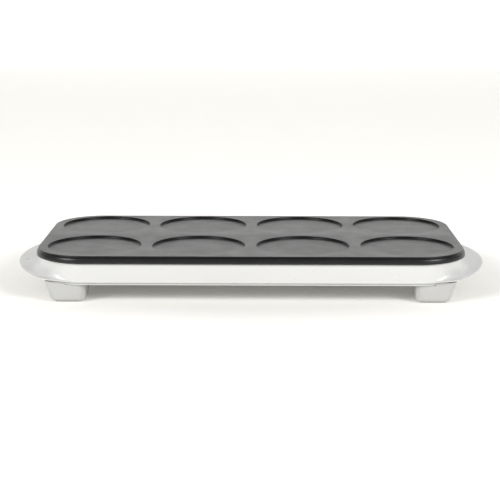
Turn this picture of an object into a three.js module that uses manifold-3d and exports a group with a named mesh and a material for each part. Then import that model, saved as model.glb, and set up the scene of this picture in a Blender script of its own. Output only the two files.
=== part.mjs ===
// An electric griddle for eight small pancakes: a cast plate that lifts off, over a thin plastic
// housing with a flat handle at each end and four block feet.
// Millimetres. +Z is up, +X runs along the griddle and +Y points to its rear.
// The origin is on the table, under the middle of the griddle.

import * as THREE from "three";
import { mergeVertices } from "three/addons/utils/BufferGeometryUtils.js";
import Module from "manifold-3d";

const wasm = await Module();
wasm.setup();

// ---- driving dimensions -------------------------------------------------------------------

const gap = 0.3; // left between pieces that touch
const screwGap = 0.35; // round a screw in its hole

// cast plate
const plateLength = 474;
const plateDepth = 234;
const plateCorner = 56;
const plateThickness = 3.6;
const skirtHeight = 8.1;
const skirtWall = 4;
const edgeRadius = 3;
const endMargin = 6; // from the plate's ends to the outermost recess cells
const sideMargin = 1.5; // from its front and back to them
const recessColumns = 4;
const recessRows = 2;
const recessLand = 12.5; // flat metal left between two recesses
const recessDepth = 2.6;
const recessFloor = 2.8;
const lugRadius = 3; // lugs that press the reflector's flange down

// housing and its handles
const footHeight = 21; // table to the underside of the base cover
const coverThickness = 1.8;
const slotsPerGroup = 7; // vent slots under each half of the tray
const slotPitch = 10;
const slotWidth = 3;
const slotLength = 40;
const housingHeight = 22.2;
const housingInset = 3.5; // how far the plate overhangs the housing
const housingWall = 2.7;
const lowerRound = 4;
const shadowGap = 0.6; // between the plate's skirt and the housing's shoulder
const ledgeDrop = 2.8;
const ledgeThickness = 2.5;
const upstandInset = 6;
const upstandWall = 2;
const wingReach = 29; // how far each handle stands out past the plate
const wingRadius = 171;
const wingHalfDepth = 112.2;
const wingCorner = 12;
const wingThickness = 5;
const wingLift = 1.6; // from the housing's lower edge up to the handle's underside

// feet
const footScrewInset = 33; // from the plate's end to the foot's screw
const footScrewSideInset = 29; // from the plate's front to the foot's screw
const footBase = { inwardX: 24, outwardX: 13, inwardY: 23, outwardY: 16 }; // reach from the screw
const footFlare = { inwardX: 1.6, outwardX: 6.3, inwardY: 3, outwardY: 4 }; // more at the top
const footRound = 7;
const footWall = 2.4;
const footSole = 1.2; // rubber that shows below the foot
const padRadius = 8;
const padThickness = 2;
const screwRadius = 1.9;
const screwHeadRadius = 3.6;
const screwHeadHeight = 2.4;
const bossRadius = 4.6;

// heater
const elementRadius = 3.25;
const elementBend = 17;
const endBend = 10;
const elementGap = 5; // from the element to the reflector's wall
const trayDepth = 12.8;
const sheet = 1; // thickness of the reflector's steel
const channelWidth = 27; // wiring space between the reflector and the housing's long walls
const endSpace = 23;
const trayCorner = 14;
const flangeWidth = 8;
const clipHalfSpan = 120;
const clipLength = 8;
const clipWall = 1.2;
const beadRadius = 4.4;
const pinRadius = 1.4;

// thermostat and wiring
const thermostatRadius = 8;
const capHeight = 5;
const ceramicHeight = 6;
const bracketLength = 34;
const wireRadius = 1.2;
const wireHole = 4.2; // holes in the reflector that wires pass through
const fuseRadius = 2.6;
const fuseLength = 30;

// cord entry and switch
const glandHeight = 10; // gland's axis above the housing's lower edge
const glandBore = 3.7;
const glandBody = 5.6;
const glandBarb = 0.4; // collar that snaps in behind the wall
const glandFlange = 7.4;
const glandFlangeThickness = 2.4;
const blockLength = 30;
const blockDepth = 14;
const blockHeight = 12.8;
const blockOffset = 46; // from the gland to the terminal block
const clampSpan = 10; // from the cord's middle to each clamp screw
const clampScrewRadius = 1.4;
const clampPost = 3.4;
const switchHeight = 13.6; // switch's middle above the housing's lower edge
const bezelLength = 24;
const bezelHeight = 14;
const bezelThickness = 1.5;
const rockerLength = 17.2;
const rockerHeight = 9;
const rockerSwing = 12; // degrees to each side of the middle
const switchWall = 1.1;
const switchDepth = 12;

// ---- places that follow from them ------------------------------------------------------------

const coverTop = footHeight + coverThickness;
const housingBottom = coverTop + gap;
const shoulder = housingBottom + housingHeight;
const skirtBottom = shoulder + shadowGap;
const plateTop = skirtBottom + skirtHeight;
const bulgeBottom = plateTop - recessDepth - recessFloor;
const ledgeTop = shoulder - ledgeDrop;
const ledgeBottom = ledgeTop - ledgeThickness;
const flangeTop = ledgeTop + gap + sheet; // also the top of the tray's wall
const trayFloor = flangeTop - sheet - trayDepth; // underside of the tray
const trayInside = trayFloor + sheet;
const elementHeight = bulgeBottom - gap - elementRadius;
const wingBottom = housingBottom + wingLift;

const pitchX = (plateLength - 2 * endMargin) / recessColumns;
const pitchY = (plateDepth - 2 * sideMargin) / recessRows;
const recessRadius = (Math.min(pitchX, pitchY) - recessLand) / 2;
const innerInset = housingInset + housingWall;
const wallOutside = plateDepth / 2 - housingInset;
const wallInside = plateDepth / 2 - innerInset;
const trayHalfLength = plateLength / 2 - innerInset - endSpace;
const trayHalfDepth = wallInside - channelWidth;
const outerRun = trayHalfDepth - sheet - elementGap - elementRadius;
const innerRun = outerRun - 2 * elementBend;
const elementEnd = trayHalfLength - sheet - elementGap - elementRadius;
const terminalX = elementEnd - elementBend / 2;
const flangeMiddle = trayHalfDepth + flangeWidth / 2;
const screwX = plateLength / 2 - footScrewInset;
const screwY = plateDepth / 2 - footScrewSideInset;
const glandX = -pitchX;
const glandZ = housingBottom + glandHeight;
const switchX = pitchX;
const switchZ = housingBottom + switchHeight;
const channelMiddle = (trayHalfDepth + flangeWidth + wallInside) / 2;
const blockX = glandX + blockOffset;
const blockBack = channelMiddle - blockDepth / 2;
const wireLine = (trayHalfDepth + blockBack) / 2; // wires run here along the rear channel
const upperWires = (coverTop + trayFloor) / 2 + wireRadius + gap;
const lowerWires = (coverTop + trayFloor) / 2 - wireRadius - gap;

// ---- shapes ------------------------------------------------------------------------------------

// A closed geometry as a solid that can be joined and cut.
function solid(geometry) {
  const bare = geometry.index ? geometry.toNonIndexed() : geometry.clone();
  bare.deleteAttribute("normal");
  bare.deleteAttribute("uv");
  const merged = mergeVertices(bare, 1e-4);
  const corners = merged.index.array;
  const kept = [];
  for (let i = 0; i < corners.length; i += 3) {
    const [a, b, c] = corners.slice(i, i + 3);
    if (a !== b && b !== c && c !== a) kept.push(a, b, c);
  }
  const vertProperties = merged.attributes.position.array;
  return new wasm.Manifold(
    new wasm.Mesh({ numProp: 3, vertProperties, triVerts: new Uint32Array(kept) }),
  );
}

function geometryOf(made) {
  const { vertProperties, triVerts } = made.getMesh();
  const geometry = new THREE.BufferGeometry();
  geometry.setAttribute("position", new THREE.BufferAttribute(new Float32Array(vertProperties), 3));
  geometry.setIndex(new THREE.BufferAttribute(new Uint32Array(triVerts), 1));
  geometry.computeVertexNormals();
  return geometry;
}

function joined(...solids) {
  return solids.reduce((whole, piece) => whole.add(piece));
}

function cut(body, ...tools) {
  return tools.reduce((rest, tool) => rest.subtract(tool), body);
}

// Corners of a rounded rectangle about the origin, anticlockwise.
function roundedRectangle(halfX, halfY, radius, steps = 6) {
  const points = [];
  const centres = [[1, 1], [-1, 1], [-1, -1], [1, -1]];
  centres.forEach(([sx, sy], corner) => {
    for (let i = 0; i <= steps; i++) {
      const angle = ((corner + i / steps) * Math.PI) / 2;
      points.push(
        new THREE.Vector2(
          sx * (halfX - radius) + radius * Math.cos(angle),
          sy * (halfY - radius) + radius * Math.sin(angle),
        ),
      );
    }
  });
  return points;
}

// The plate's plan outline, moved inwards by inset.
function plateOutline(inset) {
  return roundedRectangle(plateLength / 2 - inset, plateDepth / 2 - inset, plateCorner - inset);
}

// The reflector's plan outline, moved outwards by grow.
function trayOutline(grow) {
  return roundedRectangle(trayHalfLength + grow, trayHalfDepth + grow, trayCorner + grow, 6);
}

// A closed body through outlines of equally many points, listed from the lowest up.
function loft(sections) {
  const count = sections[0].outline.length;
  const positions = sections.flatMap(({ outline, z }) => outline.flatMap((p) => [p.x, p.y, z]));
  const index = [];
  for (let s = 0; s < sections.length - 1; s++) {
    for (let i = 0; i < count; i++) {
      const j = (i + 1) % count;
      const [a, b] = [s * count + i, s * count + j];
      index.push(a, b, b + count, a, b + count, a + count);
    }
  }
  const last = (sections.length - 1) * count;
  for (const [p, q, r] of THREE.ShapeUtils.triangulateShape(sections[0].outline, [])) {
    index.push(r, q, p);
  }
  for (const [p, q, r] of THREE.ShapeUtils.triangulateShape(sections.at(-1).outline, [])) {
    index.push(last + p, last + q, last + r);
  }
  const geometry = new THREE.BufferGeometry();
  geometry.setAttribute("position", new THREE.Float32BufferAttribute(positions, 3));
  geometry.setIndex(index);
  return solid(geometry);
}

// An upright slab of one outline, from z0 to z1.
function slab(outline, z0, z1) {
  return loft([{ outline, z: z0 }, { outline, z: z1 }]);
}

function box(x0, x1, y0, y1, z0, z1) {
  const geometry = new THREE.BoxGeometry(x1 - x0, y1 - y0, z1 - z0);
  return solid(geometry.translate((x0 + x1) / 2, (y0 + y1) / 2, (z0 + z1) / 2));
}

// An upright cylinder from z0 to z1.
function post(x, y, radius, z0, z1, sides = 16) {
  const geometry = new THREE.CylinderGeometry(radius, radius, z1 - z0, sides);
  return solid(geometry.rotateX(Math.PI / 2).translate(x, y, (z0 + z1) / 2));
}

// A body turned about Z, from [radius, z] pairs that run upwards on the outside.
function turnedGeometry(profile, sides) {
  const points = profile.map(([radius, z]) => new THREE.Vector2(radius, z));
  return new THREE.LatheGeometry(points, sides).rotateX(Math.PI / 2);
}

function turned(x, y, profile, sides) {
  return solid(turnedGeometry(profile, sides).translate(x, y, 0));
}

// A profile in the YZ plane, drawn out along X from x0 to x1.
function alongX(points, x0, x1) {
  const shape = new THREE.Shape(points.map(([y, z]) => new THREE.Vector2(y, z)));
  const geometry = new THREE.ExtrudeGeometry(shape, { depth: x1 - x0, bevelEnabled: false });
  geometry.rotateY(Math.PI / 2).rotateX(Math.PI / 2);
  return solid(geometry.translate(x0, 0, 0));
}

// A round bar along a curve.
function bar(curve, radius, sides, steps) {
  const section = new THREE.Shape();
  section.absarc(0, 0, radius, 0, 2 * Math.PI);
  return solid(
    new THREE.ExtrudeGeometry(section, {
      steps,
      curveSegments: sides,
      bevelEnabled: false,
      extrudePath: curve,
    }),
  );
}

// ---- finishes ------------------------------------------------------------------------------------

const finish = (color, roughness, metalness) =>
  new THREE.MeshStandardMaterial({ color, roughness, metalness });
const nonStick = finish(0x3a3a3c, 0.42, 0.1);
const whitePlastic = finish(0xefeeeb, 0.3, 0);
const greyPlastic = finish(0x4a4b4d, 0.5, 0);
const rubber = finish(0x8d8d8a, 0.85, 0);
const bareSteel = finish(0xb9babb, 0.35, 0.9);
const sheathSteel = finish(0x6c6761, 0.5, 0.8);
const ceramic = finish(0xe6dfd0, 0.6, 0);
const brass = finish(0xc9a55a, 0.35, 0.9);
const sleeve = finish(0xd8d0bb, 0.8, 0);
const redPlastic = finish(0xb3231c, 0.3, 0);
const insulation = {
  live: finish(0x7a4a2b, 0.55, 0),
  neutral: finish(0x2f5fa8, 0.55, 0),
  earth: finish(0x5f9a3a, 0.55, 0),
};

const griddle = new THREE.Group();

function place(parent, name, made, material, x = 0, y = 0, z = 0) {
  const mesh = new THREE.Mesh(geometryOf(made), material);
  mesh.name = name;
  mesh.position.set(x, y, z);
  parent.add(mesh);
  return mesh;
}

// ---- cast plate: eight round recesses, a turned-down skirt, lugs underneath ---------------------

function plateSolid() {
  const edge = [30, 60, 90].map((degrees) => {
    const angle = THREE.MathUtils.degToRad(degrees);
    return {
      outline: plateOutline(edgeRadius * (1 - Math.cos(angle))),
      z: -edgeRadius * (1 - Math.sin(angle)),
    };
  });
  const bottomRound = 1.4;
  let body = loft([
    { outline: plateOutline(bottomRound), z: -skirtHeight },
    { outline: plateOutline(bottomRound / 4), z: bottomRound / 2 - skirtHeight },
    { outline: plateOutline(0), z: bottomRound - skirtHeight },
    { outline: plateOutline(0), z: -edgeRadius },
    ...edge,
  ]);
  const below = 1;
  body = cut(body, slab(plateOutline(skirtWall), -skirtHeight - below, -plateThickness));

  const bulgeTop = -plateThickness + 0.2;
  const under = bulgeBottom - plateTop;
  const bulgeRadius = recessRadius + recessFloor;
  const bulge = [
    [0, under],
    [bulgeRadius - 1.5, under],
    [bulgeRadius, bulgeTop],
    [0, bulgeTop],
  ];
  const lip = 0.5;
  const recess = [
    [0, -recessDepth],
    [recessRadius - 2, -recessDepth],
    [recessRadius - 0.5, -recessDepth / 2],
    [recessRadius, lip],
    [0, lip],
  ];
  const recesses = [];
  for (let column = 0; column < recessColumns; column++) {
    for (let row = 0; row < recessRows; row++) {
      const x = (column - (recessColumns - 1) / 2) * pitchX;
      const y = (row - (recessRows - 1) / 2) * pitchY;
      const lugY = Math.sign(y) * flangeMiddle;
      const lug = post(x, lugY, lugRadius, flangeTop + gap - plateTop, bulgeTop, 8);
      body = joined(body, turned(x, y, bulge, 20), lug);
      recesses.push(turned(x, y, recess, 28));
    }
  }
  return cut(body, ...recesses);
}

// ---- housing: side wall, shoulder, inner ledge, two handles -------------------------------------

// A handle's plan outline, moved inwards by inset: a wide arc with a small round at each end.
function wingOutline(inset) {
  const centreX = plateLength / 2 + wingReach - wingRadius;
  const cornerY = wingHalfDepth - wingCorner;
  const cornerX = centreX + Math.sqrt((wingRadius - wingCorner) ** 2 - cornerY ** 2);
  const tangent = Math.atan2(cornerY, cornerX - centreX);
  const root = plateLength / 2 - plateCorner;
  const arc = (x, y, radius, from, to, steps) => {
    const points = [];
    for (let i = 0; i <= steps; i++) {
      const angle = from + ((to - from) * i) / steps;
      points.push(new THREE.Vector2(x + radius * Math.cos(angle), y + radius * Math.sin(angle)));
    }
    return points;
  };
  return [
    new THREE.Vector2(root, inset - wingHalfDepth),
    ...arc(cornerX, -cornerY, wingCorner - inset, -Math.PI / 2, -tangent, 4),
    ...arc(centreX, 0, wingRadius - inset, -tangent, tangent, 16).slice(1, -1),
    ...arc(cornerX, cornerY, wingCorner - inset, tangent, Math.PI / 2, 4),
    new THREE.Vector2(root, wingHalfDepth - inset),
  ];
}

// A handle: a flat crescent with softened edges.
function wingSolid() {
  const soft = 1.2;
  return loft([
    { outline: wingOutline(soft), z: wingBottom },
    { outline: wingOutline(0), z: wingBottom + soft },
    { outline: wingOutline(0), z: wingBottom + wingThickness - soft },
    { outline: wingOutline(soft), z: wingBottom + wingThickness },
  ]);
}

// The housing's outer face, grown by grow, from its lower edge up to z.
function housingShell(grow, z) {
  const round = (degrees) => {
    const angle = THREE.MathUtils.degToRad(degrees);
    return {
      outline: plateOutline(housingInset + lowerRound * (1 - Math.cos(angle)) - grow),
      z: housingBottom + lowerRound * (1 - Math.sin(angle)),
    };
  };
  return loft([
    { outline: round(60).outline, z: housingBottom - grow },
    round(60),
    round(30),
    round(0),
    { outline: plateOutline(housingInset - grow), z },
  ]);
}

// The switch's hole in the wall and, behind it, room for its body.
function switchHole() {
  const halfLength = rockerLength / 2 + 1 + switchWall + gap;
  const halfHeight = rockerHeight / 2 + gap + switchWall + gap;
  return box(
    switchX - halfLength, switchX + halfLength,
    wallOutside - bezelThickness - switchDepth - 2, wallOutside + 1,
    switchZ - halfHeight, switchZ + halfHeight,
  );
}

function glandHole() {
  const radius = glandBody + gap;
  const geometry = new THREE.CylinderGeometry(radius, radius, 2 * housingWall + 2, 20);
  return solid(geometry.translate(glandX, wallInside + housingWall / 2, glandZ));
}

const postReach = glandZ - glandBore - gap; // the cord clamp's bar comes up to here

function housingSolid() {
  const wing = wingSolid();
  const farWing = solid(geometryOf(wing).rotateZ(Math.PI));
  let body = joined(housingShell(0, shoulder), wing, farWing);
  const bottomIn = lowerRound / 2;
  body = cut(
    body,
    loft([
      { outline: plateOutline(innerInset + bottomIn), z: housingBottom - 1 },
      { outline: plateOutline(innerInset + bottomIn), z: housingBottom },
      { outline: plateOutline(innerInset), z: housingBottom + lowerRound },
      { outline: plateOutline(innerInset), z: shoulder + 1 },
    ]),
  );
  // ledge that carries the reflector's flange, and the upstand inside the plate's skirt
  const opening = slab(trayOutline(1.5), ledgeBottom - 1, ledgeTop + 1);
  body = joined(body, cut(slab(plateOutline(innerInset - 0.5), ledgeBottom, ledgeTop), opening));
  const upstandTop = bulgeBottom - gap;
  const upstand = cut(
    slab(plateOutline(upstandInset), ledgeTop - 0.5, upstandTop),
    slab(plateOutline(upstandInset + upstandWall), ledgeTop - 1, upstandTop + 1),
  );
  body = joined(body, upstand);
  // screw bosses for the feet, posts for the cord clamp
  for (const x of [-screwX, screwX]) {
    for (const y of [-screwY, screwY]) {
      body = joined(body, post(x, y, bossRadius, coverTop + gap, ledgeBottom + 0.5, 12));
      body = cut(body, post(x, y, screwRadius + screwGap, coverTop, ledgeBottom - 1, 10));
    }
  }
  for (const side of [-1, 1]) {
    const x = glandX + side * clampSpan;
    const hole = post(x, channelMiddle, clampScrewRadius + screwGap, postReach, ledgeBottom - 1, 12);
    body = joined(body, post(x, channelMiddle, clampPost, postReach + gap, ledgeBottom + 0.5, 12));
    body = cut(body, hole);
  }
  for (const x of [-pitchX, pitchX]) {
    for (const y of [-flangeMiddle, flangeMiddle]) {
      const hole = post(x, y, clampScrewRadius + screwGap, ledgeBottom - 1, ledgeTop + 1, 12);
      body = cut(body, hole);
    }
  }
  return cut(body, switchHole(), glandHole());
}

// ---- base cover: closes the housing from below, with vent slots -----------------------------

function coverSolid() {
  const rim = housingInset + lowerRound / 2 + 0.4;
  let cover = loft([
    { outline: plateOutline(rim + 2), z: footHeight },
    { outline: plateOutline(rim + 0.6), z: footHeight + 0.5 },
    { outline: plateOutline(rim), z: coverTop },
  ]);
  const ribInset = innerInset + lowerRound / 2 + 0.5;
  const rib = cut(
    slab(plateOutline(ribInset), coverTop - 0.5, coverTop + 3),
    slab(plateOutline(ribInset + 1.6), coverTop - 1, coverTop + 4),
  );
  cover = joined(cover, rib);
  for (const x of [-screwX, screwX]) {
    for (const y of [-screwY, screwY]) {
      cover = cut(cover, post(x, y, screwRadius + screwGap, footHeight - 1, coverTop + 1, 10));
    }
  }
  const sideSlots = (slotsPerGroup - 1) / 2;
  for (const x of [-pitchX, pitchX]) {
    for (let i = -sideSlots; i <= sideSlots; i++) {
      const [from, to] = [x + i * slotPitch - slotWidth / 2, x + i * slotPitch + slotWidth / 2];
      cover = cut(cover, box(from, to, -slotLength / 2, slotLength / 2, footHeight - 1, coverTop + 1));
    }
  }
  return cover;
}

// ---- foot: hollow block about its screw, x and y pointing outwards -------------------------------

function footOutline(inwardX, outwardX, inwardY, outwardY, radius) {
  const points = roundedRectangle((inwardX + outwardX) / 2, (inwardY + outwardY) / 2, radius, 3);
  const middle = new THREE.Vector2((outwardX - inwardX) / 2, (outwardY - inwardY) / 2);
  return points.map((p) => p.add(middle));
}

// The foot's outline at a share of its flare, moved inwards by less.
function footReach(share, less) {
  return footOutline(
    footBase.inwardX + share * footFlare.inwardX - less,
    footBase.outwardX + share * footFlare.outwardX - less,
    footBase.inwardY + share * footFlare.inwardY - less,
    footBase.outwardY + share * footFlare.outwardY - less,
    footRound - less,
  );
}

const footTop = wingBottom - gap;

function footSolid() {
  let foot = loft([
    { outline: footReach(0, 4), z: footSole },
    { outline: footReach(0, 1.4), z: footSole + 1.2 },
    { outline: footReach(0.1, 0), z: footSole + 4 },
    { outline: footReach(1, 0), z: footTop },
  ]);
  const hollow = loft([
    { outline: footReach(0, footWall + 2), z: footSole + 4 },
    { outline: footReach(1, footWall), z: footTop + 1 },
  ]);
  foot = cut(foot, hollow);
  foot = joined(foot, post(0, 0, screwHeadRadius + 2.4, footSole + 2, footHeight - gap, 12));
  // room for the housing and cover above, the screw and its head, and the rubber pad
  const shell = housingShell(gap + 0.1, plateTop);
  const above = geometryOf(shell).translate(-screwX, -screwY, 0);
  const floor = slab(plateOutline(housingInset - gap), footHeight - gap, housingBottom + 1);
  const ceiling = geometryOf(floor).translate(-screwX, -screwY, 0);
  const pocket = padThickness + gap;
  return cut(
    foot,
    solid(above),
    solid(ceiling),
    post(0, 0, screwRadius + screwGap, footSole - 1, footHeight + 1, 10),
    post(0, 0, screwHeadRadius + screwGap, footSole - 1, headBottom + screwHeadHeight + gap, 12),
    post(0, 0, padRadius + gap, footSole - 1, pocket, 16),
  );
}

const headBottom = padThickness + 2 * gap;

function footScrewSolid() {
  const head = post(0, 0, screwHeadRadius, headBottom, headBottom + screwHeadHeight, 12);
  const shank = post(0, 0, screwRadius, headBottom + 1, ledgeBottom - 2, 10);
  const socket = post(0, 0, 1.5, headBottom - 1, headBottom + 1.3, 6);
  return cut(joined(head, shank), socket);
}

function padSolid() {
  const bevel = 0.8;
  return turned(0, 0, [
    [0, 0],
    [padRadius - bevel, 0],
    [padRadius, bevel],
    [padRadius, padThickness],
    [0, padThickness],
  ], 16);
}

const corners = {
  front_left: [-1, -1],
  front_right: [1, -1],
  rear_left: [-1, 1],
  rear_right: [1, 1],
};

function buildCorner(name, sideX, sideY) {
  const corner = new THREE.Group();
  corner.position.set(sideX * screwX, sideY * screwY, 0);
  corner.scale.set(sideX, sideY, 1);
  place(corner, `foot_${name}`, footSolid(), whitePlastic);
  place(corner, `foot_pad_${name}`, padSolid(), rubber);
  place(corner, `foot_screw_${name}`, footScrewSolid(), bareSteel);
  griddle.add(corner);
}

// ---- heat reflector: a steel tray that hangs on its flange ----------------------------------------

const bracketHoleX = bracketLength / 2 + wireHole + 3;

function reflectorSolid() {
  let tray = cut(
    slab(trayOutline(0), trayFloor, flangeTop),
    slab(trayOutline(-sheet), trayInside, flangeTop + 1),
  );
  const flange = cut(
    slab(trayOutline(flangeWidth), flangeTop - sheet, flangeTop),
    slab(trayOutline(-sheet / 2), flangeTop - sheet - 1, flangeTop + 1),
  );
  tray = joined(tray, flange);
  for (const side of [-1, 1]) {
    tray = cut(
      tray,
      post(terminalX + endBend, side * outerRun, beadRadius + screwGap, trayFloor - 1, trayInside + 1),
      post(side * bracketHoleX, 0, wireHole, trayFloor - 1, trayInside + 1, 12),
    );
    for (const x of [-pitchX, pitchX]) {
      const y = side * flangeMiddle;
      tray = cut(tray, post(x, y, clampScrewRadius + screwGap, flangeTop - 3, flangeTop + 1, 12));
    }
  }
  const earthHole = post(earthX, earthY, clampScrewRadius + screwGap, trayFloor - 1, trayInside + 1, 12);
  return cut(tray, earthHole);
}

function smallScrewSolid(length) {
  const head = turned(0, 0, [[0, 0], [2.7, 0], [2.7, 0.9], [1.6, 1.8], [0, 1.8]], 10);
  return joined(head, post(0, 0, clampScrewRadius, -length, 0.5, 8));
}

// ---- heating element: four runs, its two ends turned down through the tray ---------------------

function halfTurn(x, y0, y1, outwards, steps = 8) {
  const radius = Math.abs(y1 - y0) / 2;
  const points = [];
  for (let i = 1; i < steps; i++) {
    const angle = (Math.PI * i) / steps;
    points.push([
      x + outwards * radius * Math.sin(angle),
      (y0 + y1) / 2 + ((y0 - y1) / 2) * Math.cos(angle),
    ]);
  }
  return points;
}

const sheathEnd = trayInside + 2.2;

function elementSolid() {
  const turnX = elementEnd - elementBend;
  const farTurnX = elementEnd - innerRun;
  const half = [];
  for (let i = 0; i <= 4; i++) {
    const angle = (Math.PI / 2) * (i / 4);
    half.push(new THREE.Vector3(
      terminalX + endBend * Math.cos(angle),
      outerRun,
      elementHeight - endBend + endBend * Math.sin(angle),
    ));
  }
  half.unshift(new THREE.Vector3(terminalX + endBend, outerRun, sheathEnd));
  const run = (x, y) => new THREE.Vector3(x, y, elementHeight);
  const outerXs = [terminalX - 12, clipHalfSpan, 0, -clipHalfSpan, -turnX];
  const innerXs = [-turnX, -clipHalfSpan, 0, Math.min(clipHalfSpan, farTurnX - 10), farTurnX];
  half.push(...outerXs.map((x) => run(x, outerRun)));
  half.push(...halfTurn(-turnX, outerRun, innerRun, -1).map(([x, y]) => run(x, y)));
  half.push(...innerXs.map((x) => run(x, innerRun)));
  const returning = half.map((p) => new THREE.Vector3(p.x, -p.y, p.z)).reverse();
  const middle = halfTurn(farTurnX, innerRun, -innerRun, 1, 10).map(([x, y]) => run(x, y));
  const path = new THREE.CatmullRomCurve3([...half, ...middle, ...returning], false, "centripetal");
  return bar(path, elementRadius, 3, 120);
}

// A saddle that the element lies in, standing on the tray.
function clipSolid() {
  const inside = elementRadius + gap;
  const outside = inside + clipWall;
  const base = trayInside + gap - elementHeight;
  const cup = (radius, from, to) => {
    const points = [];
    for (let i = 0; i <= 6; i++) {
      const angle = THREE.MathUtils.degToRad(from + ((to - from) * i) / 6);
      points.push([radius * Math.cos(angle), radius * Math.sin(angle)]);
    }
    return points;
  };
  const stem = clipWall / 2;
  const outline = [
    ...cup(inside, 0, -180),
    ...cup(outside, -180, -100),
    [-stem, base + clipWall],
    [-6, base + clipWall],
    [-6, base],
    [6, base],
    [6, base + clipWall],
    [stem, base + clipWall],
    ...cup(outside, -80, 0),
  ];
  return alongX(outline, -clipLength / 2, clipLength / 2);
}

function beadSolid() {
  const bore = pinRadius + gap;
  const top = sheathEnd - gap;
  return turned(0, 0, [
    [bore, beadBottom],
    [beadRadius - 0.6, beadBottom],
    [beadRadius, beadBottom + 0.6],
    [beadRadius, top],
    [bore, top],
    [bore, beadBottom],
  ], 12);
}

// ---- thermostat on its bracket, under the plate's middle --------------------------------------------

const thermostatTop = plateTop - plateThickness - gap;
const bracketTop = thermostatTop - capHeight - ceramicHeight - gap;
const tabHeight = bracketTop + gap + 2.5;

function thermostatSolid() {
  const base = bracketTop + gap;
  const body = turned(0, 0, [
    [0, base],
    [thermostatRadius - 0.7, base],
    [thermostatRadius - 0.7, base + ceramicHeight],
    [thermostatRadius, base + ceramicHeight],
    [thermostatRadius, thermostatTop - 1],
    [thermostatRadius - 1, thermostatTop],
    [0, thermostatTop],
  ], 24);
  const tabReach = thermostatRadius + 6;
  return joined(body, box(-tabReach, tabReach, -2, 2, tabHeight - 0.4, tabHeight + 0.4));
}

function bracketSolid() {
  const foot = trayInside + gap;
  const half = bracketLength / 2;
  const top = box(-half + 6, half - 6, -6, 6, bracketTop - sheet, bracketTop);
  const legs = [-1, 1].flatMap((side) => {
    const [inner, outer, end] = [side * (half - 7), side * (half - 6), side * half];
    return [
      box(Math.min(inner, outer), Math.max(inner, outer), -6, 6, foot, bracketTop),
      box(Math.min(inner, end), Math.max(inner, end), -6, 6, foot, foot + sheet),
    ];
  });
  return joined(top, ...legs);
}

// ---- cord entry: gland, clamp and terminal block ---------------------------------------------------

function glandSolid() {
  const flangeFrom = housingWall / 2 + gap;
  const collarFrom = -housingWall / 2 - gap;
  const profile = [
    [glandBore, collarFrom - 5],
    [glandBody - 0.6, collarFrom - 5],
    [glandBody + glandBarb, collarFrom - 1.6],
    [glandBody + glandBarb, collarFrom],
    [glandBody, collarFrom],
    [glandBody, flangeFrom],
    [glandFlange, flangeFrom],
    [glandFlange, flangeFrom + glandFlangeThickness - 0.8],
    [glandFlange - 0.8, flangeFrom + glandFlangeThickness],
    [glandBore, flangeFrom + glandFlangeThickness],
    [glandBore, collarFrom - 5],
  ];
  return solid(turnedGeometry(profile, 16).rotateX(-Math.PI / 2));
}

const clampThickness = 2.6;

function clampSolid() {
  const half = clampSpan + 4;
  let bridge = box(-half, half, -3.5, 3.5, -clampThickness, 0);
  for (const x of [-clampSpan, clampSpan]) {
    bridge = cut(bridge, post(x, 0, clampScrewRadius + screwGap, -clampThickness - 1, 1, 12));
  }
  return bridge;
}

const poles = [-9, 0, 9];

function blockSolid() {
  const [halfX, halfY] = [blockLength / 2, blockDepth / 2];
  let block = box(-halfX, halfX, -halfY, halfY, -blockHeight, 0);
  for (const x of poles) {
    const entry = new THREE.CylinderGeometry(1.9, 1.9, blockDepth + 2, 8);
    block = cut(block, solid(entry.translate(x, 0, -blockHeight / 2)));
    block = cut(block, post(x, 0, 1.7, -blockHeight - 1, -blockHeight / 2, 8));
  }
  for (const x of [poles[0] / 2, poles[2] / 2]) {
    const groove = box(x - 0.7, x + 0.7, -blockDepth, blockDepth, -blockHeight - 1, 3 - blockHeight);
    block = cut(block, groove);
  }
  return block;
}

// ---- switch: a frame in the rear wall, and the rocker that tips in it ----------------------------------

const rockerPivot = wallOutside - 1.7;
const trunnion = 0.9;
const tabOffset = 5; // of the switch's two tabs from its middle
const tabLength = 6;

function switchBodySolid() {
  const front = wallOutside + gap;
  const roomX = rockerLength / 2 + 1;
  const roomZ = rockerHeight / 2 + gap;
  const [rimX, rimZ] = [bezelLength / 2, bezelHeight / 2];
  const bezel = box(-rimX, rimX, front, front + bezelThickness, -rimZ, rimZ);
  const can = box(
    -roomX - switchWall, roomX + switchWall,
    front - switchDepth, front + 0.5,
    -roomZ - switchWall, roomZ + switchWall,
  );
  const back = front - switchDepth;
  const tabs = [-tabOffset, tabOffset].map((x) =>
    box(x - 2.4, x + 2.4, back - tabLength, back + 0.5, -0.4, 0.4),
  );
  return cut(
    joined(bezel, can, ...tabs),
    box(-roomX, roomX, back + 2, front + bezelThickness + 1, -roomZ, roomZ),
    post(0, rockerPivot, trunnion + gap, -roomZ - 0.8, roomZ + 0.8, 12),
  );
}

// The rocker about its own pivot, pressed neither way.
function rockerSolid() {
  const half = rockerLength / 2;
  const outline = [
    [-half, 3.2],
    [-half + 1, -1.5],
    [-5, -5],
    [5, -5],
    [half - 1, -1.5],
    [half, 3.2],
    [half * 0.45, 2.1],
    [0, 1.7],
    [-half * 0.45, 2.1],
  ];
  const shape = new THREE.Shape(outline.map(([x, y]) => new THREE.Vector2(x, y)));
  const geometry = new THREE.ExtrudeGeometry(shape, { depth: rockerHeight, bevelEnabled: false });
  const body = solid(geometry.translate(0, 0, -rockerHeight / 2));
  return joined(body, post(0, 0, trunnion, -rockerHeight / 2 - 0.7, rockerHeight / 2 + 0.7, 12));
}

// ---- wiring ------------------------------------------------------------------------------------------

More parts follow.
